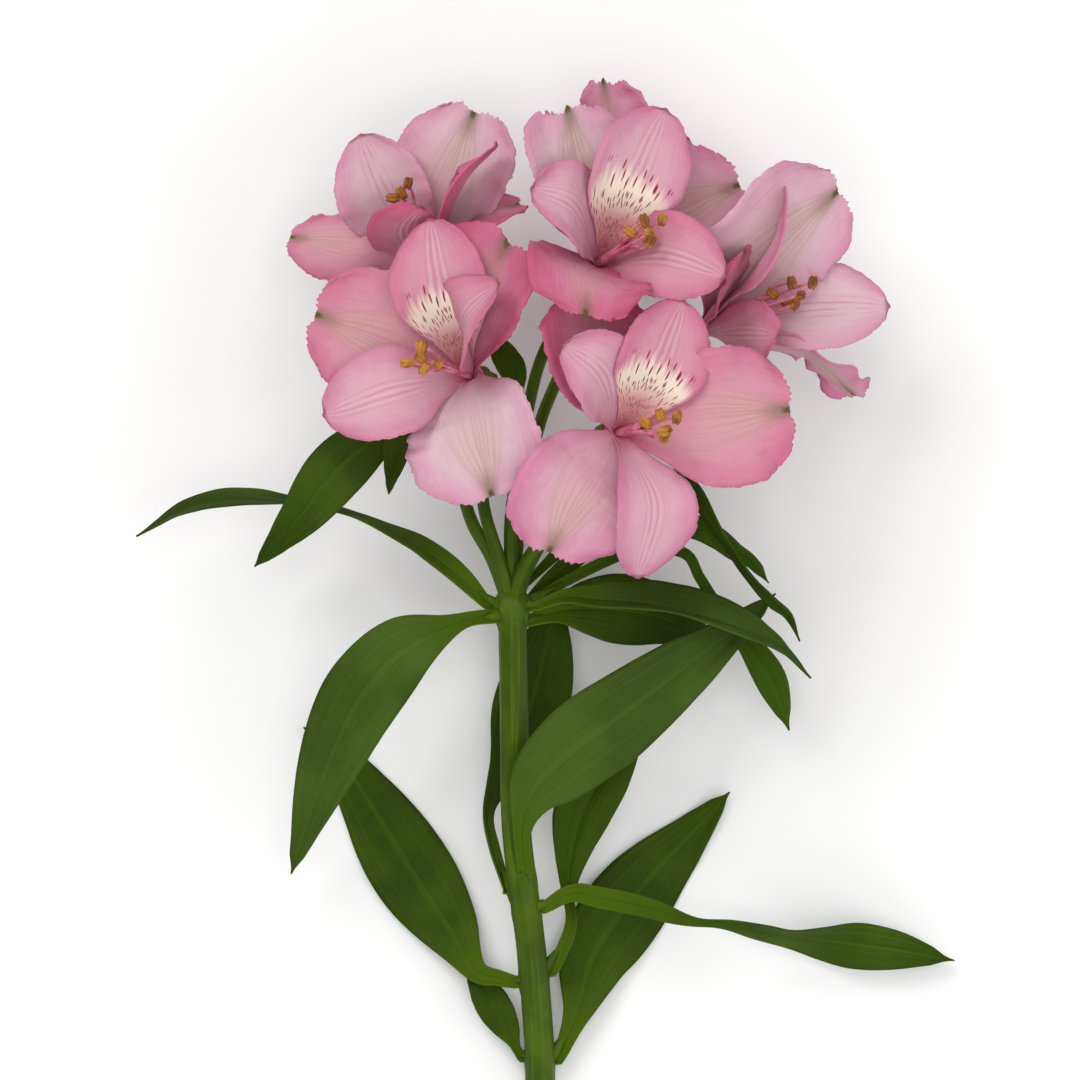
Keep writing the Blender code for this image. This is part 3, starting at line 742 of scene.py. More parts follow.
@dataclass(frozen=True)
class TepalFinish:
    """The tissue of a tepal's inner or outer face: pink, veined, striped or freckled by its kind.

    Attributes:
        kind: The kind of tepal.
        tone: How strongly it is coloured.
        back: Whether this is its outer face.
        veins: How many veins there are across it.
        fine_veins: How many fine veins there are across it.
        cloud_scale: How fine the slow changes of colour are.
        mottle_scale: How fine the mottling is.
        back_blush: How much pinker the outer face is.
        fan_veins: How many veins fan out from the tip.
        stripe_strength: How clearly the greenish stripe shows.
        faint_stripe_strength: The same on an outer face or a deep pink tepal.
        patch_strength: How clearly the cream patch shows.
        dash_jitter: How unevenly the dashes lie, from 0 to 1.
        roughness: The least roughness.
        roughness_range: How much rougher the veins make it.
        relief: How high the veins stand, in millimetres.
    """

    kind: Kind
    tone: Tone
    back: bool = False
    veins: float = 46.0
    fine_veins: float = 130.0
    cloud_scale: float = 55.0
    mottle_scale: float = 420.0
    back_blush: float = 0.22
    fan_veins: float = 15.0
    stripe_strength: float = 0.60
    faint_stripe_strength: float = 0.30
    patch_strength: float = 0.92
    dash_jitter: float = 0.95
    roughness: float = 0.50
    roughness_range: float = 0.18
    relief: float = 0.20

    def name(self) -> str:
        """Names the material."""
        return f"tepal_{self.kind.value}_{self.tone.value}_{'back' if self.back else 'face'}"

    def make(self) -> bpy.types.Material:
        """Builds the material, or finds the one made before.

        Returns:
            The material.
        """
        if self.name() in bpy.data.materials:
            return bpy.data.materials[self.name()]
        g = Graph(self.name())
        centre, middle, rim = PINKS[self.tone]
        offset, edge = g.sides()
        veins = g.lines(self.veins, 1.6)
        fine = g.lines(self.fine_veins, 3.0)
        cloud = g.noise(g.place, self.cloud_scale)
        mottle = g.noise(g.place, self.mottle_scale, 3.0)
        near_rim = g.plus(g.ease(edge, 0.35, 1.10), g.times(g.ease(g.along, 0.74, 1.03), 0.6))
        blush = g.plus(near_rim, g.sway(cloud, 1.2), g.sway(veins, 0.7), g.sway(mottle, 0.5))
        if self.back:
            blush = g.plus(blush, self.back_blush)
        colour = g.mix(g.ease(blush, 0.0, 0.60), centre, middle)
        colour = g.mix(g.ease(blush, 0.50, 1.35), colour, rim)
        colour = g.wash(colour, rim, g.ease(fine, 0.56, 0.40), 0.16)
        colour = g.wash(colour, centre, g.ease(fine, 0.56, 0.72), 0.14)
        if self.kind is Kind.OUTER:
            colour = self._stripe(g, colour, offset, edge)
        elif self.kind is Kind.INNER or self.back:
            colour = self._ribs(g, colour, edge)
        else:
            colour = self._freckles(g, colour, offset, edge)
        colour = g.wash(colour, CLAW if self.back else THROAT_PINK, g.ease(g.along, 0.26, 0.06), 0.75)
        if self.kind is not Kind.OUTER:
            colour = g.wash(colour, CLAW, g.ease(g.along, 0.965, 0.99), 0.6)
        g.glow(0.25, 1.0, spread=(1.0, 0.45, 0.4), gloss=0.18)
        relief = g.plus(g.times(veins, 0.6), g.times(fine, 0.4), g.times(mottle, 0.5))
        roughness = g.plus(self.roughness, g.times(fine, self.roughness_range))
        return g.close(colour, roughness, relief, self.relief)

    def _fan(self, g: Graph, offset: Socket) -> Socket:
        """Draws lines that fan out from the tip.

        Args:
            g: The material's nodes.
            offset: The place across, from -1 to 1.

        Returns:
            A value about 0.5, with the lines below and above it.
        """
        to_tip = g.math("MAXIMUM", g.minus(1.0, g.along), 0.0)
        reach = g.plus(g.math("POWER", to_tip, 0.8), 0.035)
        stray = g.sway(g.noise(g.uv, 4.0), 0.05)
        fan = g.math("DIVIDE", g.plus(offset, stray), reach)
        return g.noise(g.vector(g.times(fan, self.fan_veins), g.times(g.along, 0.6)), 1.0, 2.0)

    def _stripe(self, g: Graph, colour: Socket, offset: Socket, edge: Socket) -> Socket:
        """Lays the greenish stripe whose veins fan from the tip, and the green point.

        Args:
            g: The material's nodes.
            colour: The pink below.
            offset: The place across, from -1 to 1.
            edge: The same without its sign.

        Returns:
            The colour with the stripe.
        """
        width = g.plus(0.13, g.times(g.minus(1.0, g.along), 1.05))
        inside = g.ease(g.math("DIVIDE", edge, width), 1.25, 0.25)
        along = g.times(g.ease(g.along, 0.30, 0.85), g.ease(g.along, 0.0, 0.3))
        faint = self.back or self.tone is Tone.DEEP
        mask = g.times(inside, along, self.faint_stripe_strength if faint else self.stripe_strength)
        streak = g.ease(self._fan(g, offset), 0.56, 0.40)
        colour = g.wash(colour, STRIPE, mask, 0.75)
        colour = g.wash(colour, STRIPE_VEIN, g.times(mask, streak), 0.65)
        green = g.times(g.ease(g.along, 0.80, 0.99), g.ease(edge, 0.30, 0.02))
        colour = g.wash(colour, GREEN_POINT, green, 0.55)
        point = g.times(g.ease(g.along, 0.955, 0.985), g.ease(edge, 0.10, 0.04))
        return g.wash(colour, GREEN_POINT, point, 0.95)

    def _ribs(self, g: Graph, colour: Socket, edge: Socket) -> Socket:
        """Draws the few strong veins beside the midrib, with pale bands between them.

        Args:
            g: The material's nodes.
            colour: The pink below.
            edge: The place across, from 0 at the midrib to 1 at the margin.

        Returns:
            The colour with the veins.
        """
        near = g.times(g.ease(edge, 0.36, 0.14), g.ease(g.along, 0.20, 0.5))
        stray = g.sway(g.noise(g.uv, 4.0), 0.09)
        swing = g.math("COSINE", g.times(g.plus(edge, stray), 40.0))
        fade = g.ease(g.noise(g.uv, 7.0), 0.30, 0.60)
        dark = g.times(near, fade, g.ease(swing, -0.3, -1.0))
        pale = g.times(near, g.ease(swing, -0.2, 0.9))
        colour = g.wash(colour, PINKS[Tone.PALE][0], pale, 0.45)
        return g.wash(colour, PINKS[Tone.DEEP][1], dark, 0.40)

    def _freckles(self, g: Graph, colour: Socket, offset: Socket, edge: Socket) -> Socket:
        """Lays the cream patch and the dark dashes of a spotted tepal.

        Args:
            g: The material's nodes.
            colour: The pink below.
            offset: The place across, from -1 to 1.
            edge: The same without its sign.

        Returns:
            The colour with the patch and the dashes.
        """
        colour = self._ribs(g, colour, edge)
        crown = g.plus(g.along, g.times(edge, edge, 0.10))
        ragged = g.sway(g.lines(26.0, 2.0), 0.22)
        patch = g.ease(g.plus(crown, ragged), 0.65, 0.54)
        one_side = self.kind is Kind.SIDE_SPOTTED
        patch = g.times(patch, g.ease(offset, -0.35, -0.55) if one_side else g.ease(edge, 1.02, 0.84))
        colour = g.wash(colour, CREAM, patch, self.patch_strength)
        colour = g.wash(colour, THROAT_PINK, g.times(patch, g.ease(g.along, 0.50, 0.28)), 0.6)
        for dashes in FRECKLES:
            stray = g.sway(g.noise(g.uv, 9.0), 0.05)
            spot = g.vector(
                g.times(g.plus(offset, stray), dashes.across),
                g.plus(g.times(g.along, dashes.along), dashes.shift),
            )
            distance, tint = g.cells(spot, self.dash_jitter)
            mark = g.ease(g.plus(distance, g.times(tint, 0.10)), dashes.size + 0.09, dashes.size)
            starts = g.ease(g.along, dashes.start - 0.02, dashes.start + 0.03)
            band = g.times(starts, g.ease(crown, dashes.end, dashes.end - 0.04))
            mark = g.times(mark, band, g.ease(edge, 0.99, 0.93))
            if one_side:
                mark = g.times(mark, g.ease(offset, -0.35, -0.50))
            colour = g.mix(mark, colour, DASH)
        return colour


LEAF_GREENS = {
    LeafTone.FRESH: ((62, 88, 0), (48, 72, 0), (92, 114, 14)),
    LeafTone.DEEP: ((56, 78, 0), (42, 62, 0), (80, 102, 14)),
    LeafTone.GREY: ((64, 86, 22), (52, 72, 12), (84, 104, 42)),
}
LEAF_BASE = (78, 104, 2)


@dataclass(frozen=True)
class LeafFinish:
    """Leaf tissue with parallel veins, a paler midrib and a yellow-green base.

    Attributes:
        tone: How yellow, dark or grey the leaf is.
        back: Whether this is its underside.
        veins: How many veins there are across it.
        fine_veins: How many fine veins there are across it.
        wander: How far the veins stray sideways.
        cloud_scale: How fine the slow changes of colour are.
        back_grey: How much greyer the underside is.
        roughness: The least roughness.
        roughness_range: How much rougher the veins make it.
        relief: How high the veins stand, in millimetres.
    """

    tone: LeafTone
    back: bool = False
    veins: float = 34.0
    fine_veins: float = 110.0
    wander: float = 0.01
    cloud_scale: float = 45.0
    back_grey: float = 0.25
    roughness: float = 0.52
    roughness_range: float = 0.22
    relief: float = 0.35

    def name(self) -> str:
        """Names the material."""
        return f"leaf_{self.tone.value}_{'back' if self.back else 'face'}"

    def make(self) -> bpy.types.Material:
        """Builds the material, or finds the one made before.

        Returns:
            The material.
        """
        if self.name() in bpy.data.materials:
            return bpy.data.materials[self.name()]
        g = Graph(self.name())
        light, dark, vein = LEAF_GREENS[self.tone]
        _, edge = g.sides()
        veins = g.lines(self.veins, 0.8, self.wander)
        fine = g.lines(self.fine_veins, 2.5, self.wander)
        cloud = g.noise(g.place, self.cloud_scale, 4.0)
        colour = g.mix(g.ease(cloud, 0.35, 0.65), dark, light)
        colour = g.wash(colour, vein, g.ease(veins, 0.56, 0.72), 0.45)
        colour = g.wash(colour, dark, g.ease(veins, 0.46, 0.30), 0.45)
        colour = g.wash(colour, vein, g.ease(fine, 0.55, 0.72), 0.22)
        colour = g.wash(colour, vein, g.ease(edge, 0.08, 0.03), 0.35)
        colour = g.wash(colour, dark, g.ease(edge, 0.03, 0.01), 0.45)
        colour = g.wash(colour, LEAF_BASE, g.ease(g.along, 0.34, 0.04), 0.85)
        if self.back:
            colour = g.mix(self.back_grey, colour, LEAF_GREENS[LeafTone.GREY][0])
        g.glow(0.08, 0.8, spread=(0.4, 1.0, 0.2), gloss=0.12)
        relief = g.plus(g.times(veins, 0.75), g.times(fine, 0.25))
        roughness = g.plus(self.roughness, g.times(fine, self.roughness_range))
        return g.close(colour, roughness, relief, self.relief)


@dataclass(frozen=True)
class StemFinish:
    """The skin of the stem and stalks: olive green, streaked lengthwise.

    Attributes:
        name: What the material is called.
        dark: The colour of the dark patches.
        light: The colour of the light patches.
        streak: The colour of the pale streaks.
        streaks: How many streaks there are round it.
        fine_streaks: How many fine ones there are round it.
        wander: How far they stray sideways.
        cloud_scale: How fine the patches are.
        roughness: The least roughness.
        roughness_range: How much rougher the streaks make it.
        relief: How high the streaks stand, in millimetres.
    """

    name: str
    dark: Triple
    light: Triple
    streak: Triple
    streaks: float = 26.0
    fine_streaks: float = 90.0
    wander: float = 0.01
    cloud_scale: float = 90.0
    roughness: float = 0.34
    roughness_range: float = 0.2
    relief: float = 0.25

    def make(self) -> bpy.types.Material:
        """Builds the material, or finds the one made before.

        Returns:
            The material.
        """
        if self.name in bpy.data.materials:
            return bpy.data.materials[self.name]
        g = Graph(self.name)
        lines = g.lines(self.streaks, 3.0, self.wander)
        fine = g.lines(self.fine_streaks, 8.0, self.wander)
        cloud = g.noise(g.place, self.cloud_scale, 4.0)
        colour = g.mix(g.ease(cloud, 0.35, 0.65), self.dark, self.light)
        colour = g.wash(colour, self.streak, g.ease(lines, 0.54, 0.72), 0.6)
        colour = g.wash(colour, self.dark, g.ease(lines, 0.46, 0.30), 0.4)
        g.glow(0.08, 1.0, spread=(0.5, 1.0, 0.2), gloss=0.15)
        relief = g.plus(g.times(lines, 0.7), g.times(fine, 0.3))
        roughness = g.plus(self.roughness, g.times(fine, self.roughness_range))
        return g.close(colour, roughness, relief, self.relief)


STEM_SKIN = StemFinish("stem_skin", (56, 76, 0), (70, 94, 0), (94, 116, 14))
STALK_SKIN = StemFinish("stalk_skin", (54, 76, 0), (70, 96, 0), (92, 114, 18))
OVARY_SKIN = StemFinish("ovary_skin", (84, 70, 22), (98, 104, 26), (138, 84, 66))


@dataclass(frozen=True)
class StamenFinish:
    """A plain tissue with a grain: pink thread or golden pollen.

    Attributes:
        name: What the material is called.
        dark: The colour of the dark patches.
        light: The colour of the light patches and the grains.
        grain_scale: How fine the grain is.
        relief: How high the grains stand, in millimetres.
        patch_scale: How fine the patches are.
        roughness: The roughness.
    """

    name: str
    dark: Triple
    light: Triple
    grain_scale: float
    relief: float
    patch_scale: float = 300.0
    roughness: float = 0.62

    def make(self) -> bpy.types.Material:
        """Builds the material, or finds the one made before.

        Returns:
            The material.
        """
        if self.name in bpy.data.materials:
            return bpy.data.materials[self.name]
        g = Graph(self.name)
        grains = g.noise(g.place, self.grain_scale, 3.0)
        patches = g.noise(g.place, self.patch_scale, 2.0)
        colour = g.mix(g.ease(patches, 0.35, 0.65), self.dark, self.light)
        colour = g.wash(colour, self.light, g.ease(grains, 0.45, 0.70), 0.5)
        g.glow(0.1, 0.6)
        return g.close(colour, self.roughness, grains, self.relief)


FILAMENT = StamenFinish("filament_pink", (200, 92, 120), (224, 146, 168), 1500.0, 0.05)
POLLEN = StamenFinish("anther_pollen", (124, 66, 8), (190, 128, 30), 3200.0, 0.30)
RIPE_POLLEN = StamenFinish("anther_pollen_ripe", (104, 50, 6), (160, 98, 20), 3200.0, 0.30)


OUTER_SHAPE = (0.16, 0.24, 0.48, 0.78, 0.96, 1.00, 0.90, 0.56)
INNER_SHAPE = (0.16, 0.26, 0.48, 0.80, 0.98, 0.94, 0.62, 0.06)
SPOTTED_SHAPE = (0.16, 0.24, 0.42, 0.74, 0.98, 0.96, 0.60, 0.05)
WIDE_SHAPE = (0.16, 0.26, 0.54, 0.88, 1.02, 1.02, 0.90, 0.52)
FAN_SHAPE = (0.16, 0.24, 0.48, 0.78, 0.96, 1.05, 1.05, 0.86)
LEAF_SHAPE = (0.14, 0.30, 0.72, 0.97, 0.95, 0.72, 0.40, 0.05)
BROAD_SHAPE = (0.18, 0.24, 0.82, 1.00, 0.90, 0.68, 0.37, 0.05)
STRAP_SHAPE = (0.24, 0.70, 0.80, 0.70, 0.90, 1.00, 0.70, 0.08)
WAISTED_SHAPE = (0.20, 0.38, 0.34, 0.16, 0.74, 1.00, 0.72, 0.05)
NECKED_SHAPE = (0.26, 0.34, 0.36, 0.33, 0.32, 0.62, 1.00, 0.08)
PETIOLE_SHAPE = (0.20, 0.22, 0.20, 0.55, 0.95, 0.98, 0.68, 0.05)


@dataclass(frozen=True)
class Tepal:
    """One tepal of a bloom, measured from the bloom's seat.

    Attributes:
        kind: Its kind.
        via: A point that its midrib passes.
        tip: The end of its midrib.
        twist: How far it is turned about its midrib, from base to tip.
        width: Its greatest width.
        cup: How far its margins curve up.
        tone: How strongly it is coloured.
        lobes: How far its end runs on beside the notch, right and left.
        outline: Its half widths from base to tip, where its kind's own don't fit.
        skew: How much wider one half is than the other.
        ruffle: How high the ruffles of its margin are.
    """

    kind: Kind
    via: Triple
    tip: Triple
    twist: Sequence[float]
    width: float
    cup: float
    tone: Tone = Tone.MID
    lobes: tuple[float, float] = (1.7, 1.7)
    outline: Optional[Sequence[float]] = None
    skew: float = 0.0
    ruffle: float = 0.6

    def shape(self) -> Sequence[float]:
        """Gives the half widths from base to tip."""
        usual = {Kind.OUTER: OUTER_SHAPE, Kind.INNER: INNER_SHAPE, Kind.SPOTTED: SPOTTED_SHAPE}
        return self.outline or usual.get(self.kind, SPOTTED_SHAPE)


def outer(via: Triple, tip: Triple, twist: Sequence[float], width: float, cup: float,
          **more: object) -> Tepal:
    """Plans a broad, notched outer tepal."""
    return Tepal(Kind.OUTER, via, tip, twist, width, cup, **more)


def inner(via: Triple, tip: Triple, twist: Sequence[float], width: float, cup: float,
          **more: object) -> Tepal:
    """Plans the plain lower inner tepal."""
    return Tepal(Kind.INNER, via, tip, twist, width, cup, **more)


def spotted(via: Triple, tip: Triple, twist: Sequence[float], width: float, cup: float,
            **more: object) -> Tepal:
    """Plans a freckled inner tepal."""
    return Tepal(Kind.SPOTTED, via, tip, twist, width, cup, **more)


def side_spotted(via: Triple, tip: Triple, twist: Sequence[float], width: float, cup: float,
                 **more: object) -> Tepal:
    """Plans a freckled inner tepal that shows its freckles along one margin only."""
    return Tepal(Kind.SIDE_SPOTTED, via, tip, twist, width, cup, **more)


@dataclass(frozen=True)
class Margin:
    """How the face and the margin of a kind of tepal are worked.

    Attributes:
        blunt: How round its end is, from 0 to 1.
        nib: How long the small point at the tip is.
        teeth: How deep the fine teeth are.
        nicks: How deep the broader nicks are.
        ruffle: How much of the tepal's ruffle there is.
        crinkle: How uneven the face is.
        rib: How deep the grooves are.
        rib_places: Where across the tepal they run, from -1 to 1.
        columns: Cells from edge to edge.
    """

    blunt: float
    nib: float
    teeth: float
    nicks: float
    ruffle: float
    crinkle: float
    rib: float
    rib_places: Sequence[float]
    columns: int


OUTER_MARGIN = Margin(
    blunt=0.0, nib=1.0, teeth=0.70, nicks=1.1, ruffle=1.0, crinkle=1.0, rib=0.12, rib_places=(0.0,), columns=26,
)
INNER_MARGIN = Margin(
    blunt=0.45, nib=0.6, teeth=0.60, nicks=0.5, ruffle=0.4, crinkle=0.7, rib=0.16, rib_places=(-0.10, 0.10),
    columns=18,
)


@dataclass
class Bloom:
    """An open flower: six tepals round a throat, with six stamens leaning out of it.

    Attributes:
        name: The bloom's letter.
        seat: Where its tepals start.
        facing: The way it opens.
        anthers: The middle of its anthers, from the seat.
        tepals: Its six tepals.
        seat_radius: The radius of the cushion under the tepals.
        rows: Steps along a tepal.
        thickness: The thickness of a tepal.
        throat: How far the tepals run straight up before they spread.
        stamens: How many stamens it has.
        anther_length: The length of an anther.
        anther_radius: The radius of each of its two lobes.
        anther_lump: How lumpy they are.
        anther_bow: How far they bow.
        spread: How far the anthers stand from their middle.
        filament: The radius of a thread at its foot.
        filament_rows: Steps along a thread.
        filament_sides: Cells round a thread.
        pollen: The finish of its anthers.
    """

    name: str
    seat: Triple
    facing: Triple
    anthers: Triple
    tepals: Sequence[Tepal]
    seat_radius: float = 2.6
    rows: int = 128
    thickness: float = 0.40
    throat: float = 5.0
    stamens: int = 6
    anther_length: float = 3.7
    anther_radius: float = 1.0
    anther_lump: float = 0.22
    anther_bow: float = 0.30
    spread: float = 2.7
    filament: float = 0.62
    filament_rows: int = 28
    filament_sides: int = 8
    pollen: StamenFinish = POLLEN

    def axis(self) -> Vector:
        """Gives the way the bloom opens."""
        return Vector(self.facing).normalized()

    def number(self) -> int:
        """Counts the bloom from 1, for its own unevenness."""
        return ord(self.name) - ord("a") + 1

    def midrib(self, tepal: Tepal) -> list[Vector]:
        """Runs the midrib of a tepal up out of the throat and out to its tip.

        Args:
            tepal: The tepal.

        Returns:
            Its points, from the base to the tip.
        """
        seat, facing = Vector(self.seat), self.axis()
        side = facing.cross(Vector(tepal.tip)).normalized()
        away = side.cross(facing)
        start = seat + away * self.seat_radius * 0.6 + facing * 0.3
        throat = start + facing * self.throat + away * 1.2
        return even_line((start, throat, seat + Vector(tepal.via), seat + Vector(tepal.tip)), self.rows)

    def build_tepal(self, number: int, tepal: Tepal) -> bpy.types.Object:
        """Makes one tepal with its two finished faces.

        Args:
            number: Which of the six it is, from 1.
            tepal: The tepal.

        Returns:
            The piece.
        """
        across = self.axis().cross(Vector(tepal.tip)).normalized()
        broad = tepal.kind is Kind.OUTER
        margin = OUTER_MARGIN if broad else INNER_MARGIN
        blade = Blade(
            line=self.midrib(tepal),
            side_at=lambda run: across,
            half_width=tepal.width / 2,
            shape=tepal.shape(),
            rolls=tepal.twist,
            cup=tepal.cup,
            wave=0.9,
            skew=tepal.skew,
            lobes=tepal.lobes if broad else (0.0, 0.0),
            blunt=margin.blunt,
            nib=margin.nib,
            teeth=margin.teeth,
            nicks=margin.nicks,
            ruffle=margin.ruffle * tepal.ruffle,
            crinkle=margin.crinkle,
            rib=margin.rib,
            rib_places=margin.rib_places,
            channel=60.0,
            seed=7.0 * number + 31.0 * self.number(),
        )
        faces = [TepalFinish(tepal.kind, tepal.tone, back).make() for back in (False, True)]
        return sheet_piece(f"bloom_{self.name}_tepal_{number}", blade, margin.columns, self.thickness, faces)

    def build_seat(self) -> bpy.types.Object:
        """Makes the small cushion that the tepals stand on.

        Returns:
            The piece.
        """
        bm = empty_mesh()
        radius = self.seat_radius * MM
        bmesh.ops.create_uvsphere(bm, u_segments=24, v_segments=12, radius=radius, calc_uvs=True)
        turn = self.axis().to_track_quat("Z", "Y").to_matrix().to_4x4()
        middle = Vector(self.seat) + self.axis() * 0.6
        bmesh.ops.scale(bm, vec=(1.0, 1.0, 0.45), verts=bm.verts)
        bmesh.ops.transform(bm, matrix=Matrix.Translation(middle * MM) @ turn, verts=bm.verts)
        return finished(f"bloom_{self.name}_seat", bm, [FILAMENT.make()])

    def add_anther(self, bm: Mesh, centre: Vector, lean: Vector, seed: float) -> None:
        """Adds a lumpy anther of two lobes, side by side, to a mesh.

        Args:
            bm: The mesh.
            centre: The anther's middle.
            lean: The way it points.
            seed: Which noise makes it lumpy.
        """
        turn = lean.to_track_quat("Z", "Y").to_matrix().to_4x4()
        for side in (-1, 1):
            made = bmesh.ops.create_uvsphere(bm, u_segments=18, v_segments=16, radius=1.0, calc_uvs=True)
            for vert in made["verts"]:
                x, y, z = vert.co
                lump = 1.0 + self.anther_lump * noise.noise(Vector((x * 1.8, y * 1.8, z * 1.8 + seed + side)))
                bow = self.anther_bow * (1 - z * z)
                flat = x * 0.74 * lump + side * 0.44
                vert.co = Vector((flat, (y * 0.92 + bow) * lump, z * (0.85 + 0.15 * lump)))
            size = (self.anther_radius, self.anther_radius, self.anther_length / 2)
            bmesh.ops.scale(bm, vec=size, verts=made["verts"])
            bmesh.ops.transform(bm, matrix=Matrix.Translation(centre) @ turn, verts=made["verts"])
            bmesh.ops.scale(bm, vec=(MM, MM, MM), verts=made["verts"])

    def stamen_ends(self) -> list[tuple[Vector, Vector, Vector, Vector]]:
        """Finds each stamen's start, a point on its way and its end, and the way its anther leans.

        Returns:
            Start, point on the way, end and lean of each stamen.
        """
        seat, facing, middle = Vector(self.seat), self.axis(), Vector(self.anthers)
        right = facing.orthogonal().normalized()
        up = facing.cross(right)
        foot = seat + facing * 1.9
        ends = []
        for i in range(self.stamens):
            angle = 2 * math.pi * i / self.stamens
            spread = right * math.cos(angle) + up * math.sin(angle)
            end = seat + middle * (1.0 - 0.12 * (i % 3)) + spread * self.spread
            start = foot + facing * 0.8 + spread * 0.5
            sag = seat + middle * 0.55 + spread * 0.9 - facing * 1.5
            ends.append((start, sag, end, (spread + up * 0.7 + facing * 0.5 * (i % 2)).normalized()))
        return ends

    def build_filaments(self) -> bpy.types.Object:
        """Makes the pink threads that carry the anthers.

        Returns:
            The piece.
        """
        bm = empty_mesh()
        rows = self.filament_rows
        for start, sag, end, _ in self.stamen_ends():
            below = end - self.axis() * 3.0 - Vector(self.anthers) * 0.08
            line = even_line((start, sag, below, end), rows)
            thread = tube_mesh(
                line, lambda row, angle: self.filament * (1.0 - 0.45 * row / rows), self.filament_sides
            )
            merge_into(bm, thread)
        return finished(f"bloom_{self.name}_filaments", bm, [FILAMENT.make()])

    def build_anthers(self) -> bpy.types.Object:
        """Makes the golden anthers.

        Returns:
            The piece.
        """
        bm = empty_mesh()
        for i, (_, _, end, lean) in enumerate(self.stamen_ends()):
            self.add_anther(bm, end, lean, 3.1 * i + 17.0 * self.number())
        return finished(f"bloom_{self.name}_anthers", bm, [self.pollen.make()])

    def build(self) -> list[bpy.types.Object]:
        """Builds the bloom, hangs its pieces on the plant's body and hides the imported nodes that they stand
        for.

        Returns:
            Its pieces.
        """
        petals = [self.build_tepal(i + 1, tepal) for i, tepal in enumerate(self.tepals)]
        petals.append(self.build_seat())
        stamens = [self.build_filaments(), self.build_anthers()]
        for piece in petals:
            tie(piece, "petal", f"bloom_{self.name}_tepals")
        for piece in stamens:
            tie(piece, "stamen", f"bloom_{self.name}_stamens")
        return petals + stamens


def merge_into(bm: Mesh, part: Mesh) -> None:
    """Adds one mesh under construction to another and frees it.

    Args:
        bm: The mesh that grows.
        part: The mesh that is added.
    """
    mesh = bpy.data.meshes.new("part")
    part.to_mesh(mesh)
    part.free()
    bm.from_mesh(mesh)
    bpy.data.meshes.remove(mesh)


def tie(piece: bpy.types.Object, slot: str, *nodes: str) -> None:
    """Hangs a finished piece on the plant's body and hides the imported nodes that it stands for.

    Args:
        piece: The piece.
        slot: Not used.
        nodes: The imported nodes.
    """
    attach(piece, ROOT)
    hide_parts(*nodes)


@dataclass
class Leaf:
    """A leaf or bract on the stem or on a flower stalk.

    Attributes:
        name: The name of the leaf and of its node.
        on: "stem", or the letter of the bloom on whose stalk it grows.
        at: Where it starts, in Y on the stem or as a share of the way along a stalk.
        side: The angle round the stem where it starts.
        width: Its greatest width.
        shape: Its half widths from base to tip, as shares of half its width.
        line: The points of its midrib.
        roll: How far it is turned about its midrib, from base to tip.
        fold: How steeply its two halves fold up.
        off: How far off the skin its midrib leaves the stem.
        tone: How yellow, dark or grey it is.
        rows: Steps along it.
        columns: Cells from edge to edge.
        thickness: Its thickness.
        root_depth: How far the blade reaches into the stem.
        foot_depth: How far its foot does.
        foot_rows: Steps along the foot.
        foot_sides: Cells round the foot.
    """

    name: str
    on: str
    at: float
    side: float
    width: float
    shape: Sequence[float]
    line: Sequence[Triple]
    roll: Sequence[float]
    fold: float = 8.0
    off: float = 1.1
    tone: LeafTone = LeafTone.DEEP
    rows: int = 72
    columns: int = 16
    thickness: float = 0.5
    root_depth: float = 0.9
    foot_depth: float = 1.0
    foot_rows: int = 18
    foot_sides: int = 14

    def build(self, stem: "Stem") -> list[bpy.types.Object]:
        """Builds the leaf from the skin of its stem to its tip.

        Args:
            stem: The stem that it grows on.

        Returns:
            Its pieces.
        """
        start, root = stem.leaf_start(self, self.off), stem.leaf_start(self, -self.root_depth)
        blade = Blade(
            line=[root, *even_line((start, *self.line), self.rows)],
            side_at=lambda run: UP.cross(run),
            half_width=self.width / 2,
            shape=self.shape,
            rolls=self.roll,
            fold=self.fold,
            crinkle=0.35 + 0.025 * self.width,
            rib=0.35,
            channel=35.0,
            pointed=True,
            seed=float(sum(map(ord, self.name)) % 97),
        )
        faces = [LeafFinish(self.tone, back).make() for back in (False, True)]
        pieces = [sheet_piece(self.name, blade, self.columns, self.thickness, faces)]
        if self.on == "stem":
            pieces.append(self.build_foot(stem))
        for piece in pieces:
            tie(piece, "leaf", self.name)
        return pieces

    def build_foot(self, stem: "Stem") -> bpy.types.Object:
        """Makes the small cushion where the leaf stalk runs down into the skin of the stem.

        Args:
            stem: The stem that it grows on.

        Returns:
            The piece.
        """
        foot = stem.leaf_start(self, -self.foot_depth)
        _, run = stem.axis_at(self.at)
        first = Vector(self.line[0])
        way = (foot - run * 5.0, foot, foot.lerp(first, 0.35), foot.lerp(first, 0.7))
        line = even_line(way, self.foot_rows)
        reach = 0.5 * self.width * self.shape[0]

        def swell(row: int, angle: float) -> float:
            """Gives the cushion's radius, which is the same all round."""
            share = row / self.foot_rows
            return (0.25 + reach * 1.1 * math.sin(math.pi * min(share * 1.1 + 0.05, 1.0)) ** 0.8) * 0.8

        return finished(f"{self.name}_foot", tube_mesh(line, swell, self.foot_sides), [STALK_SKIN.make()])


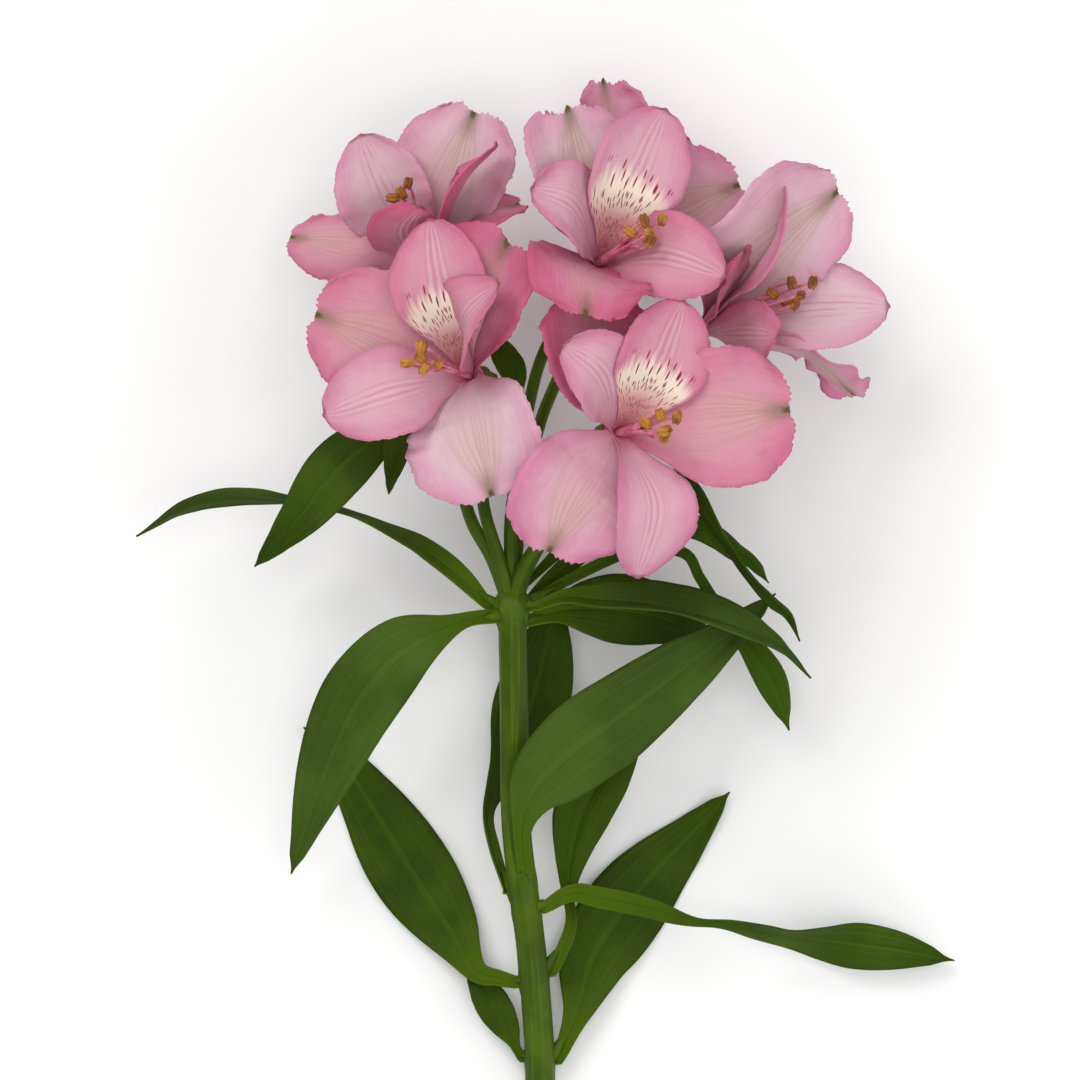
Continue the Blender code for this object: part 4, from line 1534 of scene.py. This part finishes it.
@dataclass
class Stem:
    """The main stem with its whorl, its six flower stalks and the ovaries under the blooms.

    Attributes:
        line: The points of its middle, from the cut to the whorl.
        radius: Its radius at the cut.
        top_radius: Its radius under the whorl.
        whorl_radius: The radius of the whorl.
        stalk_radius: The radius of a flower stalk.
        ovary_length: The length of an ovary.
        ovary_radius: Its greatest radius.
        gap: How far under the seat of its bloom it ends.
        ridges: How many ridges run along the stem.
        ridge_height: How high they are.
        twist: How far they wind round it, in radians.
        stalks: Points that the stalk of each bloom passes.
        nodes: Where the stem swells under its leaves, in Y.
        node_swell: How far it swells there.
        node_reach: How far up and down a swelling reaches.
        trunk_rows: Steps along the stem.
        trunk_sides: Cells round the stem and the whorl.
        whorl_length: The length of the whorl.
        whorl_rows: Steps along it.
        stalk_rows: Steps along a stalk.
        stalk_sides: Cells round a stalk.
        ovary_rows: Steps along an ovary.
        ovary_sides: Cells round an ovary.
        ovary_shape: Its radii from foot to top, as shares of ovary_radius.
    """

    line: Sequence[Triple] = (
        (-2.0, -128.6, 3.5), (-2.3, -115.0, 7.4), (-4.2, -91.0, 13.2),
        (-8.0, -60.0, 20.6), (-8.6, -28.0, 28.3), (-9.0, -4.0, 34.0),
    )
    radius: float = 3.8
    top_radius: float = 3.5
    whorl_radius: float = 4.6
    stalk_radius: float = 1.5
    ovary_length: float = 8.5
    ovary_radius: float = 3.1
    gap: float = 0.3
    ridges: int = 9
    ridge_height: float = 0.085
    twist: float = 1.1
    stalks: dict[str, Sequence[Triple]] = field(default_factory=lambda: {
        "a": ((-14.0, 8.0, 35.0), (-20.0, 19.5, 34.0), (-25.0, 42.0, 30.0), (-26.5, 62.0, 26.0)),
        "b": ((-9.3, 8.0, 36.0), (-8.8, 22.5, 37.0), (-3.5, 52.0, 36.0), (2.0, 66.0, 36.0)),
        "c": ((-4.0, 8.0, 33.0), (8.0, 28.0, 29.0), (23.0, 52.0, 22.0)),
        "d": ((-12.0, 7.0, 38.0), (-16.2, 22.0, 40.0), (-15.5, 38.0, 40.0)),
        "e": ((-6.0, 6.0, 39.0), (2.0, 18.0, 42.0), (8.5, 30.0, 44.0)),
        "f": ((-8.0, 10.0, 31.0), (-2.0, 42.0, 24.0), (10.0, 68.0, 17.5)),
    })
    nodes: Sequence[float] = (-121.0, -98.0, -82.0, -74.0)
    node_swell: float = 0.22
    node_reach: float = 2.2
    trunk_rows: int = 220
    trunk_sides: int = 48
    whorl_length: float = 9.0
    whorl_rows: int = 24
    stalk_rows: int = 90
    stalk_sides: int = 24
    ovary_rows: int = 24
    ovary_sides: int = 36
    ovary_shape: Sequence[float] = (0.50, 0.66, 0.86, 1.00, 0.97, 0.80)

    def axis_at(self, height: float) -> tuple[Vector, Vector]:
        """Finds a point on the stem's axis at a height in Y, and the way the stem runs there.

        Args:
            height: The height in Y.

        Returns:
            The point and the way.
        """
        line = even_line(self.line, 60)
        near = min(range(len(line)), key=lambda i: abs(line[i].y - height))
        return line[near], tangents(line)[near]

    def stalk_line(self, bloom: Bloom, steps: int = 12) -> list[Vector]:
        """Runs the middle of a bloom's stalk from inside the whorl into the foot of its ovary.

        Args:
            bloom: The bloom.
            steps: How many steps to take.

        Returns:
            Its points.
        """
        foot = Vector(bloom.seat) - bloom.axis() * (self.ovary_length + self.gap)
        points = [self.line[-1], *self.stalks[bloom.name], foot, foot + bloom.axis() * 2.0]
        return even_line(points, steps)

    def leaf_start(self, leaf: Leaf, off: float) -> Vector:
        """Finds where a leaf leaves its stem.

        Args:
            leaf: The leaf.
            off: How far from the skin; under 0 is inside the stem.

        Returns:
            The point.
        """
        if leaf.on == "stem":
            centre, run = self.axis_at(leaf.at)
            near_top = leaf.at > self.line[-1][1] - 2.5
            radius = self.whorl_radius if near_top else self.radius
        else:
            line = self.stalk_line(BLOOMS[leaf.on])
            index = round(leaf.at * (len(line) - 1))
            centre, run = line[index], tangents(line)[index]
            radius = self.stalk_radius
        right = run.cross(UP).normalized()
        up = right.cross(run)
        angle = math.radians(leaf.side)
        return centre + (right * math.cos(angle) + up * math.sin(angle)) * (radius + off)

    def skin(self, line: Sequence[Vector], row: int, angle: float) -> float:
        """Gives the stem's radius: tapered, swollen at its nodes and ridged lengthwise.

        Args:
            line: The stem's middle.
            row: The step along it.
            angle: The angle round it, in radians.

        Returns:
            The radius in millimetres.
        """
        share = row / (len(line) - 1)
        radius = self.radius + (self.top_radius - self.radius) * share
        height = line[row].y
        for node in self.nodes:
            radius += self.node_swell * math.exp(-(((height - node) / self.node_reach) ** 2))
        turn = angle + self.twist * share
        radius += self.ridge_height * math.cos(self.ridges * turn) + 0.05 * math.cos(5 * turn + 1.0)
        return radius + 0.06 * noise.noise(Vector((share * 30.0, math.cos(angle), math.sin(angle))))

    def build_trunk(self) -> bpy.types.Object:
        """Makes the ridged main stem with its whorl.

        Returns:
            The piece.
        """
        line = even_line(self.line, self.trunk_rows)
        bm = tube_mesh(line, lambda row, angle: self.skin(line, row, angle), self.trunk_sides)
        end, run = line[-1], tangents(line)[-1]
        rows = self.whorl_rows
        knot = [end + run * (self.whorl_length * (k / rows - 0.5)) for k in range(rows + 1)]

        def swell(row: int, angle: float) -> float:
            """Gives the whorl's radius: rounded at its ends and a little uneven round it."""
            rise = max(math.sin(math.pi * (0.06 + 0.88 * row / rows)), 0.0) ** 0.5
            return self.whorl_radius * rise * (1.0 + 0.05 * math.cos(6 * angle) + 0.03 * math.cos(11 * angle))

        merge_into(bm, tube_mesh(knot, swell, self.trunk_sides))
        for vert in bm.verts:
            vert.co.z = max(vert.co.z, 0.0)
        return finished("stem_trunk", bm, [STEM_SKIN.make()])

    def build_stalk(self, bloom: Bloom) -> bpy.types.Object:
        """Makes a flower stalk that flares out of the whorl.

        Args:
            bloom: The bloom that it carries.

        Returns:
            The piece.
        """
        line = self.stalk_line(bloom, self.stalk_rows)

        def width(row: int, angle: float) -> float:
            """Gives the stalk's radius: flared at both ends and ridged.

            Args:
                row: The step along the stalk.
                angle: The angle round it, in radians.

            Returns:
                The radius in millimetres.
            """
            share = row / self.stalk_rows
            flare = 0.9 * math.exp(-share * 9.0) + 0.35 * smooth(share, 0.86, 1.0)
            ridge = 0.06 * math.cos(6 * angle + 3.0 * share)
            return self.stalk_radius + flare + ridge

        return finished(f"stalk_{bloom.name}", tube_mesh(line, width, self.stalk_sides), [STALK_SKIN.make()])

    def build_ovary(self, bloom: Bloom) -> bpy.types.Object:
        """Makes the ribbed swelling under a bloom.

        Args:
            bloom: The bloom above it.

        Returns:
            The piece.
        """
        top = Vector(bloom.seat) - bloom.axis() * self.gap
        rows = self.ovary_rows
        line = [top - bloom.axis() * self.ovary_length * (1 - k / rows) for k in range(rows + 1)]

        def width(row: int, angle: float) -> float:
            """Gives the ovary's radius, with six ribs round it."""
            rib = 1.0 + 0.07 * math.cos(6 * angle) * math.sin(math.pi * row / rows)
            return self.ovary_radius * spline(self.ovary_shape, row / rows) * rib

        return finished(f"ovary_{bloom.name}", tube_mesh(line, width, self.ovary_sides), [OVARY_SKIN.make()])

    def build(self, blooms: Sequence[Bloom]) -> list[bpy.types.Object]:
        """Builds the whole green body.

        Args:
            blooms: The blooms that it carries.

        Returns:
            Its pieces.
        """
        pieces = [self.build_trunk()]
        for bloom in blooms:
            pieces += [self.build_stalk(bloom), self.build_ovary(bloom)]
        for piece in pieces:
            tie(piece, "stem", "stem")
        return pieces


BLOOMS = {
    "a": Bloom(
        "a", (-29.0, 78.8, 32.0), (-0.25, 0.55, 0.80), (-7.5, 20.0, 26.0),
        (
            inner((-11.0, 18.5, 14.0), (-17.7, 34.5, 19.0), (-15, -15, -5), 24, 30, tone=Tone.PALE),
            outer((5.0, 24.0, 13.0), (10.2, 39.5, 12.0), (0, 25), 30, 30, tone=Tone.PALE, lobes=(2.2, 1.6)),
            outer(
                (-17.5, 7.5, 12.0), (-35.0, 9.8, -2.0), (-20, -11, -11), 20, -70, tone=Tone.ROSE,
                ruffle=1.0,
            ),
            spotted((7.5, 21.0, 28.0), (16.5, 31.5, 22.0), (20, -40, -50), 18, 35, tone=Tone.DEEP),
            spotted((-6.0, 9.5, 25.0), (-2.0, 15.5, 35.0), (-20, -54), 20, 30, tone=Tone.DEEP),
            outer((12.0, 14.0, 17.0), (21.0, 17.0, 15.0), (-20, -25), 24, 30, tone=Tone.DEEP),
        ),
        pollen=RIPE_POLLEN,
    ),
    "b": Bloom(
        "b", (11.2, 80.5, 46.0), (0.41, 0.29, 0.86), (15.0, 8.7, 29.5),
        (
            spotted((9.0, 18.5, 17.0), (18.0, 38.7, 11.0), (0, 0), 25, 25),
            outer((19.0, 12.5, 5.0), (35.6, 20.3, -3.0), (0, 12), 28, 18),
            inner((17.0, 1.8, 21.0), (32.5, -3.2, 20.0), (0, 30), 22, 25, tone=Tone.ROSE),
            outer((-2.0, -3.0, 29.0), (-2.2, -12.5, 38.0), (14, 20), 31, 15, tone=Tone.DEEP),
            inner((-5.0, 14.0, 24.0), (-15.5, 17.8, 31.0), (0, 0), 22, 25),
            outer((-3.2, 22.0, 15.0), (-6.5, 38.5, 12.0), (0, 0), 30, 25, tone=Tone.PALE, lobes=(-1.4, 0.4)),
        ),
    ),
    "c": Bloom(
        "c", (38.0, 66.0, 27.0), (0.62, 0.13, 0.77), (26.0, 8.7, 28.0),
        (
            outer(
                (18.0, 17.5, 23.0), (33.3, 32.5, 20.5), (0, 0), 34, 22, tone=Tone.PALE, lobes=(3.0, 1.4),
                outline=WIDE_SHAPE, skew=0.18,
            ),
            inner((26.0, 4.5, 15.0), (47.5, 5.0, 13.0), (-15, -10, 10), 23, 25, tone=Tone.PALE),
            outer((26.0, -7.0, 12.0), (39.0, -16.5, -2.0), (30, 98, 92), 15, -20, ruffle=1.2),
            inner((13.0, -2.0, 23.0), (19.0, -3.0, 31.0), (0, -50, -64), 17, 25, tone=Tone.ROSE),
            outer((7.5, 10.0, 20.0), (10.5, 17.5, 27.5), (0, 0), 22, 30, tone=Tone.DEEP),
            spotted((17.0, 19.0, 24.0), (22.5, 37.5, 24.0), (30, 44, 48), 20, 20),
        ),
        pollen=RIPE_POLLEN,
    ),
    "d": Bloom(
        "d", (-18.0, 53.0, 50.0), (-0.43, 0.12, 0.90), (-14.5, 4.5, 28.0),
        (
            spotted((-8.0, 19.5, 18.0), (-11.2, 38.7, 15.0), (15, 15, 10), 24, 25, tone=Tone.ROSE),
            inner((-2.5, 13.5, 24.0), (6.2, 22.0, 31.0), (-28, -28), 22, 30, tone=Tone.ROSE),
            outer(
                (1.5, 19.0, 16.0), (7.7, 31.8, 17.0), (0, 0), 28, 25, tone=Tone.DEEP, lobes=(3.5, 1.0),
                outline=FAN_SHAPE, skew=-0.12,
            ),
            outer((-1.0, -12.0, 18.0), (4.0, -28.7, 20.0), (0, 0), 35, 15, tone=Tone.PALE),
            inner((-20.0, -4.0, 17.0), (-37.5, -10.0, 14.0), (-15, -10, 0), 23, 20),
            outer((-20.0, 8.5, 11.0), (-38.5, 15.0, 7.0), (0, 0), 31, 20, tone=Tone.ROSE),
        ),
    ),
    "e": Bloom(
        "e", (16.0, 39.0, 55.0), (0.37, 0.03, 0.93), (13.5, 1.5, 28.0),
        (
            spotted((10.5, 14.7, 17.0), (17.4, 32.4, 14.0), (0, 0), 24, 25, tone=Tone.ROSE),
            outer((23.0, 3.0, 13.0), (42.5, 5.5, 8.0), (0, 0), 34, 15, tone=Tone.ROSE),
            inner((10.0, -17.5, 17.0), (5.8, -36.0, 10.0), (0, 0), 21, 20),
            outer((-8.0, -14.0, 17.0), (-15.5, -28.5, 14.0), (0, 0), 32, 15),
            side_spotted((-3.0, 14.0, 23.0), (-12.4, 21.2, 29.0), (0, 0), 21, 30),
            outer((-3.0, 17.0, 11.0), (-6.0, 33.0, 9.0), (0, 0), 30, 25, tone=Tone.DEEP),
        ),
    ),
    "f": Bloom(
        "f", (19.0, 90.0, 17.0), (0.28, 0.96, 0.0), (6.5, 25.0, -1.0),
        (
            outer((-2.0, 21.0, 13.0), (-5.0, 37.6, 16.0), (0, 0), 27, 20, lobes=(-0.6, -0.2)),
            spotted((9.0, 14.0, 9.0), (16.5, 24.0, 9.0), (0, 0), 22, 25),
            outer((14.0, 11.0, -7.5), (24.0, 14.0, -14.5), (10, 45), 27, 12),
            inner((1.0, 17.0, -11.0), (1.0, 30.0, -15.9), (0, 0), 22, 12),
            outer((-9.0, 15.0, -3.0), (-17.7, 30.0, -6.0), (0, 0), 28, 20),
            spotted((-8.0, 16.0, 9.0), (-14.0, 25.0, 13.0), (0, 0), 22, 25),
        ),
    ),
}

LEAVES = (
    Leaf(
        "leaf_left_narrow", "stem", -3.5, 180, 9.0, STRAP_SHAPE,
        ((-22.0, 3.2, 35.0), (-29.5, 9.0, 35.0), (-35.2, 12.6, 34.0), (-48.7, 18.6, 31.0),
         (-62.5, 21.8, 29.0), (-77.5, 22.9, 28.0), (-91.0, 20.7, 27.0), (-103.9, 13.4, 25.0)),
        (0, 45, 80, 96, 120, 125), fold=6,
    ),
    Leaf(
        "leaf_left_broad", "stem", -7.0, 160, 20.0, BROAD_SHAPE,
        ((-19.5, -7.2, 41.0), (-25.3, -9.3, 45.0), (-35.8, -14.5, 47.0), (-44.0, -23.0, 45.0),
         (-50.3, -33.0, 41.0), (-57.5, -50.0, 32.0), (-65.0, -72.0, 20.0)),
        (0, 0, 0, 0), tone=LeafTone.GREY,
    ),
    Leaf(
        "leaf_low_left", "stem", -99.0, 180, 21.5, LEAF_SHAPE,
        ((-12.5, -99.0, 11.0), (-18.5, -97.0, 9.0), (-25.5, -86.0, 4.5), (-36.0, -70.5, 0.8),
         (-45.5, -55.0, 0.25), (-54.5, -42.0, 0.8), (-62.5, -35.5, 3.0)),
        (0, 0, 0, 0), fold=1,
    ),
    Leaf(
        "leaf_foot_left", "stem", -121.0, 190, 9.0, LEAF_SHAPE,
        ((-9.5, -114.0, 6.5), (-13.5, -107.0, 6.5), (-17.5, -100.0, 6.0), (-21.0, -92.0, 5.0)),
        (0, 0, 0, 0),
    ),
    Leaf(
        "leaf_behind_stem", "stem", -76.0, 200, 19.0, PETIOLE_SHAPE,
        ((-14.0, -66.0, 13.5), (-15.2, -56.0, 10.5), (-10.5, -45.0, 8.5), (-4.5, -30.0, 8.0),
         (-0.5, -15.0, 9.0), (2.5, -2.0, 10.0)),
        (60, 40, 0, 0),
    ),
    Leaf(
        "leaf_right_crossing", "stem", -71.0, 75, 22.0, BROAD_SHAPE,
        ((-6.5, -61.0, 27.5), (-3.0, -50.0, 30.5), (7.0, -40.0, 32.0), (18.5, -31.5, 32.0),
         (33.0, -20.5, 31.0), (45.0, -11.5, 28.0), (57.5, -1.0, 24.0)),
        (0, 0, 0, 0), fold=6, tone=LeafTone.GREY,
    ),
    Leaf(
        "leaf_right_under", "stem", -97.0, 0, 15.0, PETIOLE_SHAPE,
        ((5.8, -86.0, 12.5), (5.2, -77.0, 13.0), (6.2, -67.0, 14.0), (9.0, -56.0, 15.0),
         (14.5, -46.5, 16.0), (19.5, -39.0, 16.5), (24.0, -32.0, 16.0)),
        (0, 0, 0, 0),
    ),
    Leaf(
        "leaf_low_right", "stem", -121.0, 350, 21.5, LEAF_SHAPE,
        ((7.6, -108.0, 5.0), (12.5, -93.0, 2.2), (24.0, -76.5, 0.25), (36.0, -63.5, 0.3),
         (46.5, -52.0, 3.0)),
        (0, 0, 0, 0), fold=1,
    ),
    Leaf(
        "leaf_right_low_long", "stem", -82.0, 20, 14.0, WAISTED_SHAPE,
        ((6.0, -77.0, 18.0), (13.0, -78.0, 19.5), (25.0, -80.5, 19.0), (37.0, -84.3, 17.0),
         (46.5, -85.2, 15.0), (60.7, -88.0, 12.0), (74.5, -90.0, 9.0), (90.0, -92.3, 6.5),
         (104.0, -95.0, 4.5)),
        (0, 0, 20, 60, 20, 0), tone=LeafTone.FRESH,
    ),
    Leaf(
        "leaf_right_folded", "stem", -4.0, 20, 14.0, LEAF_SHAPE,
        ((4.0, -2.0, 38.0), (12.0, -2.5, 40.0), (24.0, -3.5, 41.0), (36.0, -6.0, 41.0),
         (48.0, -9.8, 39.5), (58.0, -15.0, 37.0), (66.0, -22.2, 33.0)),
        (0, -50, -58, -55), tone=LeafTone.GREY, fold=26,
    ),
    Leaf(
        "leaf_right_broad", "stem", -8.0, 350, 18.0, LEAF_SHAPE,
        ((4.5, -5.0, 29.0), (14.0, -4.5, 27.0), (25.0, -6.0, 23.5), (35.0, -9.5, 19.5),
         (43.0, -14.0, 15.0)),
        (0, 0, 0, 0), off=0.05,
    ),
    Leaf(
        "leaf_right_necked", "stem", -3.0, 322, 8.0, NECKED_SHAPE,
        ((8.0, 4.0, 30.0), (22.0, 10.0, 31.5), (34.0, 9.3, 29.5), (38.2, 3.1, 26.5),
         (42.6, -3.8, 24.5), (47.2, -9.9, 22.5), (51.5, -15.0, 21.5), (55.6, -21.2, 20.5),
         (58.6, -28.2, 19.0), (61.2, -35.8, 17.0)),
        (0, 0, 0, 0), tone=LeafTone.FRESH,
    ),
    Leaf(
        "leaf_right_arched", "stem", -2.0, 262, 9.0, LEAF_SHAPE,
        ((1.0, 8.0, 25.5), (14.0, 21.0, 32.0), (28.0, 27.5, 38.0), (35.4, 26.0, 41.0),
         (41.3, 17.2, 42.0), (49.6, 4.6, 41.0), (56.0, -2.6, 39.0), (60.2, -6.4, 37.0),
         (63.2, -12.9, 34.0)),
        (0, 40, 65, 65),
    ),
    Leaf(
        "leaf_right_small", "stem", -5.5, 292, 6.0, STRAP_SHAPE,
        ((7.0, 8.0, 25.5), (20.0, 17.5, 29.0), (35.4, 16.2, 33.0), (42.3, 13.2, 33.0),
         (47.0, 9.5, 33.0), (51.0, 7.0, 32.0), (55.5, 1.7, 30.0)),
        (0, 0, 0, 40), tone=LeafTone.FRESH,
    ),
    Leaf(
        "bract_left_broad", "a", 0.55, 200, 15.0, LEAF_SHAPE,
        ((-35.0, 42.0, 32.0), (-43.0, 38.5, 33.0), (-53.0, 30.0, 36.0), (-62.0, 18.5, 35.5),
         (-73.8, 5.8, 30.0)),
        (0, 0, 0, 0),
    ),
    Leaf(
        "bract_left_small", "a", 0.52, 140, 9.0, LEAF_SHAPE,
        ((-32.0, 45.0, 36.0), (-37.0, 38.0, 37.0), (-40.0, 24.0, 33.0)),
        (0, 0, 0, 0),
    ),
    Leaf(
        "bract_middle", "b", 0.62, 150, 7.0, LEAF_SHAPE,
        ((-8.0, 53.0, 40.0), (-10.5, 58.0, 41.0), (-16.0, 66.0, 40.0)),
        (0, 0, 0, 0), tone=LeafTone.FRESH,
    ),
)


@dataclass(frozen=True)
class Lamp:
    """A large soft light, aimed at the middle of the plant.

    Attributes:
        name: What the light is called.
        place: Where it hangs, in metres.
        size: How wide it is, in metres.
        power: How strong it is, in watts.
    """

    name: str
    place: Triple
    size: float
    power: float

    def build(self) -> None:
        """Hangs the light."""
        data = bpy.data.lights.new(self.name, "AREA")
        data.shape = "DISK"
        data.size = self.size
        data.energy = self.power
        lamp = bpy.data.objects.new(self.name, data)
        lamp.location = self.place
        lamp.rotation_euler = (-Vector(self.place)).to_track_quat("-Z", "Y").to_euler()
        lamp.visible_camera = False
        bpy.context.scene.collection.objects.link(lamp)


@dataclass
class Studio:
    """The table, the soft lights and the camera over the plant.

    Attributes:
        lens: The focal length of the camera, in millimetres.
        sensor: The width of its sensor, in millimetres.
        camera_place: Where it hangs, in metres.
        table_half: Half the width of the table, in metres.
        table_top: The height of the table, in metres.
        daylight: How strong the even light from all round is.
        lamps: The lights.
    """

    lens: float = 208.0
    sensor: float = 36.0
    camera_place: Triple = (-0.002, 0.0125, 1.6)
    table_half: float = 3.0
    table_top: float = -0.0002
    daylight: float = 0.50
    lamps: Sequence[Lamp] = (
        Lamp("key", (-0.55, 0.75, 1.10), 0.8, 8.5),
        Lamp("over", (0.05, 0.0, 1.45), 1.0, 5.8),
        Lamp("fill", (0.95, -0.35, 0.90), 1.2, 4.0),
        Lamp("back", (0.10, -1.10, 0.60), 0.9, 2.5),
    )

    def build_table(self) -> None:
        """Lays a pale table top under the plant."""
        bm = empty_mesh()
        bmesh.ops.create_grid(bm, x_segments=1, y_segments=1, size=self.table_half, calc_uvs=True)
        bmesh.ops.translate(bm, verts=bm.verts, vec=(0.0, 0.0, self.table_top))
        g = Graph("table_top")
        tint = g.mix(g.noise(g.place, 6.0), (236, 236, 235), (242, 242, 241))
        table = finished("table_top", bm, [g.close(tint, 0.7, g.noise(g.place, 900.0), 0.02)])

    def build(self) -> None:
        """Sets up the whole studio."""
        self.build_table()
        for lamp in self.lamps:
            lamp.build()
        world = bpy.data.worlds.new("studio")
        world.use_nodes = True
        sky = world.node_tree.nodes["Background"].inputs
        sky["Color"].default_value = (1.0, 1.0, 1.0, 1.0)
        sky["Strength"].default_value = self.daylight
        bpy.context.scene.world = world
        bpy.context.scene.view_settings.view_transform = "Standard"
        camera = bpy.data.cameras.new("camera")
        camera.lens = self.lens
        camera.sensor_width = self.sensor
        camera.clip_end = 20.0
        eye = bpy.data.objects.new("camera", camera)
        eye.location = self.camera_place
        bpy.context.scene.collection.objects.link(eye)
        bpy.context.scene.camera = eye


def main() -> None:
    """Builds the plant and its studio."""
    logging.basicConfig(level=logging.INFO, format="%(name)s: %(message)s")
    stem = Stem()
    pieces = stem.build(list(BLOOMS.values()))
    for leaf in LEAVES:
        pieces += leaf.build(stem)
    for bloom in BLOOMS.values():
        pieces += bloom.build()
    for piece in pieces:
        LOG.info("%s: %d faces", piece.name, len(piece.data.polygons))
    Studio().build()


if __name__ == "__main__":
    main()
